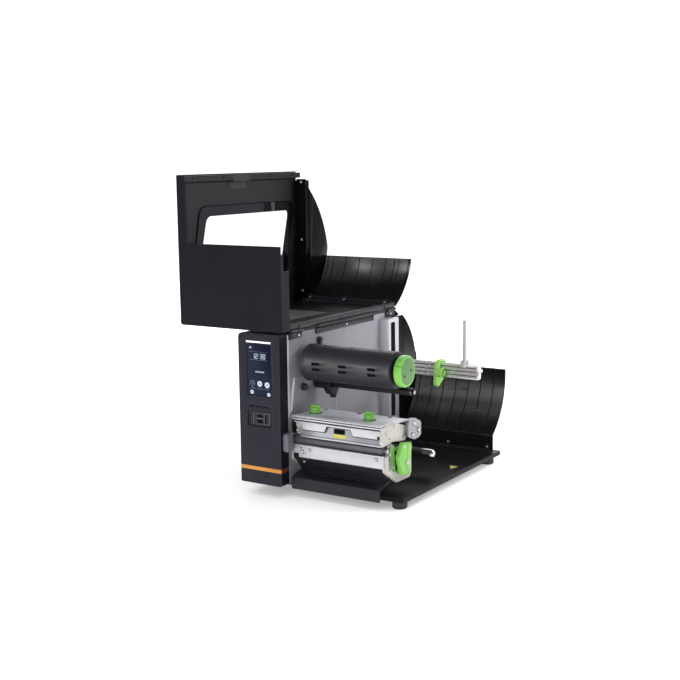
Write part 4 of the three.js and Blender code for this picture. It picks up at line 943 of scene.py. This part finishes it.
sheet = Piece()
for y0, y1, h in ((76, 119, 0.7), (37, 72, 0.5)):
    raised_strip(sheet, y0, y1, h, 9, 184)
sheet.make("head_top_sheets", HEAD_SHEET, HEAD, "zinc_steel", bevel=0.3)
rim = Piece()
for y0, y1, h in ((31.2, 33.2, 0.6), (73.4, 74.4, 0.35), (121, 122.4, 0.8)):
    raised_strip(rim, y0, y1, h, 4, 189)
rim.make("head_top_rims", BRIGHT_SHEET, HEAD, "zinc_steel", bevel=0.2)
slots = Piece()
for x, y in ((13, 120), (86, 120), (150, 120)):
    slots.box(x, x + 8, y, y + 2.6, head_top(y) - 0.2, head_top(y) + 1.3)
slots.make("head_top_slots", DARK_GAP_AND_SHADE, HEAD, "black_steel")
for hand, x, y in (("left", 25, 76), ("right", 141, 73)):
    seat = Piece()
    seat.lathe("z", x, y, [(0, 151), (12.5, 151), (12.5, 151.8), (11.5, 152.15), (0, 152.15)], 28)
    seat.make("knob_seat_" + hand, "grey_plastic", HEAD)

ARM_FACE = 201.6
arm = Piece().rod("x", 142, 128, 3, 0.3, 199.5)
arm.box(0.3, 14, 134, 152, 108, 134)
arm.prism(
    "x",
    [(105.5, 121), (128, 112), (147, 113.5), (152.5, 119), (152.5, 138), (148.5, 143.5), (139.5, 143),
     (136, 149.5), (121, 152), (109, 150), (106, 145)], 195.2, ARM_FACE)
arm.make("head_pivot_arm", ARM_METAL, slot="casting", bevel=0.8, replaces=("head_pivot",))
# Each spot is (y, z, screw radius, radius of its painted shadow ring).
spots = ((125.5, 142.2, 3, 4.2), (121, 122.4, 3, 4.2), (141, 128, 3.4, 4.8),
         (143.5, 119, 2, 2.9))
screws("head_pivot_screws", "x", [(y, z, ARM_FACE, r) for y, z, r, seat in spots])
# Painted shadow rings behind the pivot screws, and one small dark hole.
screw_shadows = Piece()
for y, z, r, seat in spots:
    screw_shadows.rod("x", y, z, seat, ARM_FACE - 0.1, 201.8)
screw_shadows.rod("x", 133, 134.6, 1.4, ARM_FACE - 0.1, 201.85)
screw_shadows.make("head_pivot_screw_shadows", DARK_GAP_AND_SHADE, slot="black_steel")

# ---- lower mechanism

FRONT_PLATE_Y = 29
fittings = Piece()
for x, z, r in ((27, 89.6, 2.6), (42, 94, 2.4), (180.7, 94.4, 2.6), (12, 92.5, 2.6)):
    fittings.screw("y", x, z, FRONT_PLATE_Y, r, -1)
fittings.lathe("y", 22, 68, [(0, 52), (2.2, 52), (2.2, 41), (1.4, 40), (0, 40)], 14)
fittings.make("front_plate_screws", SCREW, slot="zinc_steel")
# Painted shadow rings behind the front plate's screws, and two small dark holes.
screw_shadows = Piece()
for x, z, r in ((27, 89.6, 3.7), (42, 94, 3.5), (180.7, 94.4, 3.7), (24.6, 96.6, 1.3),
                (34, 87.4, 1.3)):
    screw_shadows.rod("y", x, z, r, FRONT_PLATE_Y - 0.1, 29.2)
screw_shadows.make("front_plate_screw_shadows", DARK_GAP_AND_SHADE, slot="black_steel")
fold = Piece().box(19, 194, 28.5, 29.2, 99.8, 101.4).box(19, 194, 28.4, 29.2, 79.1, 80.3)
fold.make("front_plate_folds", BRIGHT_SHEET, slot="zinc_steel", bevel=0.2)
Piece().prism(
    "x", [(43, 93), (49.5, 116.5), (59, 116.5), (76, 94), (75, 64.5), (56, 69)], 197, 198.4).make(
    "latch_plate", LATCH, slot="casting", bevel=0.4)
Piece().prism(
    "x", [(60.5, 108.5), (66, 104), (69, 96), (70.5, 70), (65.5, 70), (63.5, 96)],
    198.3, 198.7).make("latch_shadow_slot", DARK_GAP_AND_SHADE, slot="black_steel")
SPRING = {"x": 199.8, "y": 46.5, "z": 74, "r": 1.9, "length": 26, "turns": 11, "wire": 0.55}
coil = [
    (SPRING["x"] + SPRING["r"] * math.cos(t), SPRING["y"] + SPRING["r"] * math.sin(t),
     SPRING["z"] + SPRING["length"] * t / (2 * math.pi * SPRING["turns"]))
    for t in (2 * math.pi * k / 12 for k in range(SPRING["turns"] * 12 + 1))
]
Piece().tube(coil, SPRING["wire"], 6).make("latch_spring", ARM_METAL, slot="black_steel")
post = Piece().rod("x", 39.5, 108.6, 3.6, 196.8, 198.8).rod("x", 46.5, 102, 2.4, 197, 198.8)
post.rod("x", 46.5, 72.4, 2.4, 197, 198.8).rod("x", 60, 76, 2, 198.2, 198.8)
post.make("latch_posts", "casting", bevel=0.4)
plate = Piece().prism("x", [(36.5, 98), (42.5, 100), (42.5, 74), (36.5, 74)], 197, 197.8)
plate.prism("x", [(107.5, 52), (119, 52), (119, 88), (110, 88)], 197, 198.2)
plate.make("frame_side_plates", BRIGHT_SHEET, slot="casting", bevel=0.3)
dark = Piece()
for y0, z0, y1, z1 in ((108.2, 76, 113.5, 84), (112.4, 53, 116.6, 58)):
    dark.prism("x", rounded(y0, z0, y1, z1, 1), 198.1, 198.6)
dark.make("frame_side_slots", DARK_GAP_AND_SHADE, slot="black_steel")
facet = Piece().prism(
    "x",
    [(94, 57.5), (98.6, 61.5), (100.6, 86.2), (105.4, 106.4), (102.8, 110.6), (94, 112.4), (90.5, 93),
     (88, 76)], 207.8, 208.7)
facet.make("lever_raised_side", "green_plastic", "release_lever", bevel=0.4)
Piece().screw("x", 79.5, 110, 208, 2.6).make("lever_top_pin", SCREW, "release_lever", "zinc_steel")

Piece().prism("z", [(192, 282), (208, 284.5), (205, 262)], 27, 27.25).make(
    "base_label", YELLOW, slot="white_plastic")

# ---- left side, top and back

LEFT_X = -90
REAR_Y = 409
fittings = Piece()
for y in (60, 230, 396):
    for z in (38, 288):
        fittings.screw("x", y, z, LEFT_X, 3, -1)
for z in (34, 284, 122):
    for x in (-80, -14):
        fittings.screw("y", x, z, REAR_Y, 2.6)
fittings.make("housing_screws", "black_steel")
guard_rings = Piece()
for r in (7, 14, 21):
    guard_rings.hoop("y", -48, 256, r + 0.7, r - 0.7, REAR_Y, REAR_Y + 1, 36)
guard_rings.make("fan_guard", "black_steel")

# ---- camera, light and floor

CAMERA = {
    "place": (1204.9, -1672.7, 614.9), "azimuth": 32.67, "elevation": 8.97, "roll": -0.69, "lens": 62.72,
    "shift": (-1.9 / 680, 1.6 / 680),
}

SENSOR_WIDTH = 36
WORLD = {"horizon": 0.34, "zenith": 0.05, "zenith_height": 0.7, "color": (0.97, 0.98, 1, 1)}
FLOOR = {"half_width": 12, "front": -9, "bend": 5, "radius": 2, "top": 9, "steps": 12}
# name, place, what it aims at, size, watts
LIGHTS = [
    ("key", (0.55, -2.85, 1.35), (0, 0, 0.22), (2, 2), 40),
    ("right_back", (1.25, 0.85, 0.95), (0, 0.14, 0.24), (0.7, 0.7), 12),
    ("rear_fill", (-1.5, 2.7, 1.3), (0, 0, 0.25), (2, 2), 26),
    ("top", (0.3, 0.1, 3), (0, 0, 0.2), (2, 2), 16),
]
SHELL_LIGHTS = [
    ("lower_glow", (-1.25, -2.31, 0.98), (0.1, 0.22, 0.13), (1.5, 0.16), 34),
    ("cover_glow", (-1.65, -1.83, 1.9), (-0.1, 0.22, 0.38), (1.9, 0.5), 76),
]
# what the shell lights fall on, and all that can stand in their way
SHELL_PIECES = [
    a + b for a in ("lower_shell", "cover_shell") for b in ("", "_backing", "_joints", "_clips")]
DRUM_LIGHT = ("drum_glow", (-0.5, -2.4, 0.3), (0.1, -0.16, 0.24), (1.2, 0.3), 60)
FLOOR_WASH = ("floor_wash", (0, 0.5, 6), (0, 0.5, 0), (9, 9), 490)
BACK_WASH = ("backdrop_wash", (-0.81, 1.26, 4.5), (-3.78, 5.89, 2.2), (8, 4), 360)


def make_camera():
    a, e, roll = (math.radians(CAMERA[k]) for k in ("azimuth", "elevation", "roll"))
    back = Vector((math.sin(a) * math.cos(e), -math.cos(a) * math.cos(e), math.sin(e)))
    right = Vector((math.cos(a), math.sin(a), 0))
    up = back.cross(right)
    side = right * math.cos(roll) + up * math.sin(roll)
    top = up * math.cos(roll) - right * math.sin(roll)
    data = bpy.data.cameras.new("camera")
    data.sensor_width = SENSOR_WIDTH
    data.lens = CAMERA["lens"]
    data.shift_x, data.shift_y = CAMERA["shift"]
    data.clip_end = 50
    cam = bpy.data.objects.new("camera", data)
    turn = Matrix((side, top, back)).transposed().to_4x4()
    turn.translation = at(*CAMERA["place"])
    cam.matrix_world = turn
    show(cam)
    bpy.context.scene.camera = cam


def soft_light(name, place, aim, size, power):
    data = bpy.data.lights.new(name, "AREA")
    data.shape = "RECTANGLE"
    data.size, data.size_y = size
    data.energy = power
    obj = bpy.data.objects.new(name, data)
    obj.location = place
    obj.rotation_mode = "QUATERNION"
    obj.rotation_quaternion = (Vector(aim) - Vector(place)).to_track_quat("-Z", "Y")
    show(obj)
    return obj


def make_floor():
    """A pale floor that curves up into a backdrop."""
    bend, radius, steps = FLOOR["bend"], FLOOR["radius"], FLOOR["steps"]
    profile = [(FLOOR["front"], 0), (bend, 0)]
    for i in range(1, steps + 1):
        t = math.pi / 2 * i / steps
        profile.append((bend + radius * math.sin(t), radius - radius * math.cos(t)))
    profile.append((bend + radius, FLOOR["top"]))
    bm = bmesh.new()
    half = FLOOR["half_width"]
    rows = [[bm.verts.new((x, y, z)) for y, z in profile] for x in (-half, half)]
    for i in range(len(profile) - 1):
        bm.faces.new((rows[0][i], rows[1][i], rows[1][i + 1], rows[0][i + 1]))
    mesh = bpy.data.meshes.new("floor")
    bm.to_mesh(mesh)
    bm.free()
    mesh.shade_smooth()
    floor = bpy.data.objects.new("floor", mesh)
    floor.rotation_euler = (0, 0, math.radians(CAMERA["azimuth"]))
    mesh.materials.append(finish(
        "pale_floor", (0.9, 0.9, 0.9, 1), 0.7, blotch=0.004, rough_var=0.02, grain=0, specular=0.1))
    show(floor)
    return floor


def make_world():
    """Studio air that is brightest at the horizon."""
    world = bpy.data.worlds.new("studio")
    bpy.context.scene.world = world
    world.use_nodes = True
    tree = world.node_tree
    sky = tree.nodes["Background"]
    direction = tree.nodes.new("ShaderNodeTexCoord").outputs["Generated"]
    height = tree.nodes.new("ShaderNodeSeparateXYZ")
    tree.links.new(direction, height.inputs[0])
    fall = tree.nodes.new("ShaderNodeMapRange")
    for key, value in (("From Min", 0), ("From Max", WORLD["zenith_height"]),
                       ("To Min", WORLD["horizon"]), ("To Max", WORLD["zenith"])):
        fall.inputs[key].default_value = value
    tree.links.new(height.outputs[2], fall.inputs["Value"])
    tree.links.new(fall.outputs[0], sky.inputs[1])
    sky.inputs[0].default_value = WORLD["color"]


def group(name, objects):
    made = bpy.data.collections.new(name)
    for obj in objects:
        made.objects.link(obj)
    return made


def make_lights(floor):
    """Four soft lights on everything, and five more that each fall on one group only."""
    for light in LIGHTS:
        soft_light(*light)
    wash, back_wash = soft_light(*FLOOR_WASH), soft_light(*BACK_WASH)
    washed = group("washed", [floor])
    shells = group("shells", [bpy.data.objects[name] for name in SHELL_PIECES])
    drum = group("drum", [nodes["ribbon_spindle"]])
    linked = [(wash, washed), (back_wash, washed), (soft_light(*DRUM_LIGHT), drum)]
    linked += [(soft_light(*light), shells) for light in SHELL_LIGHTS]
    for light, lit in linked:
        light.light_linking.receiver_collection = lit
        light.light_linking.blocker_collection = lit


make_camera()
stage_floor = make_floor()
make_world()
make_lights(stage_floor)
bpy.context.scene.view_settings.view_transform = "Standard"
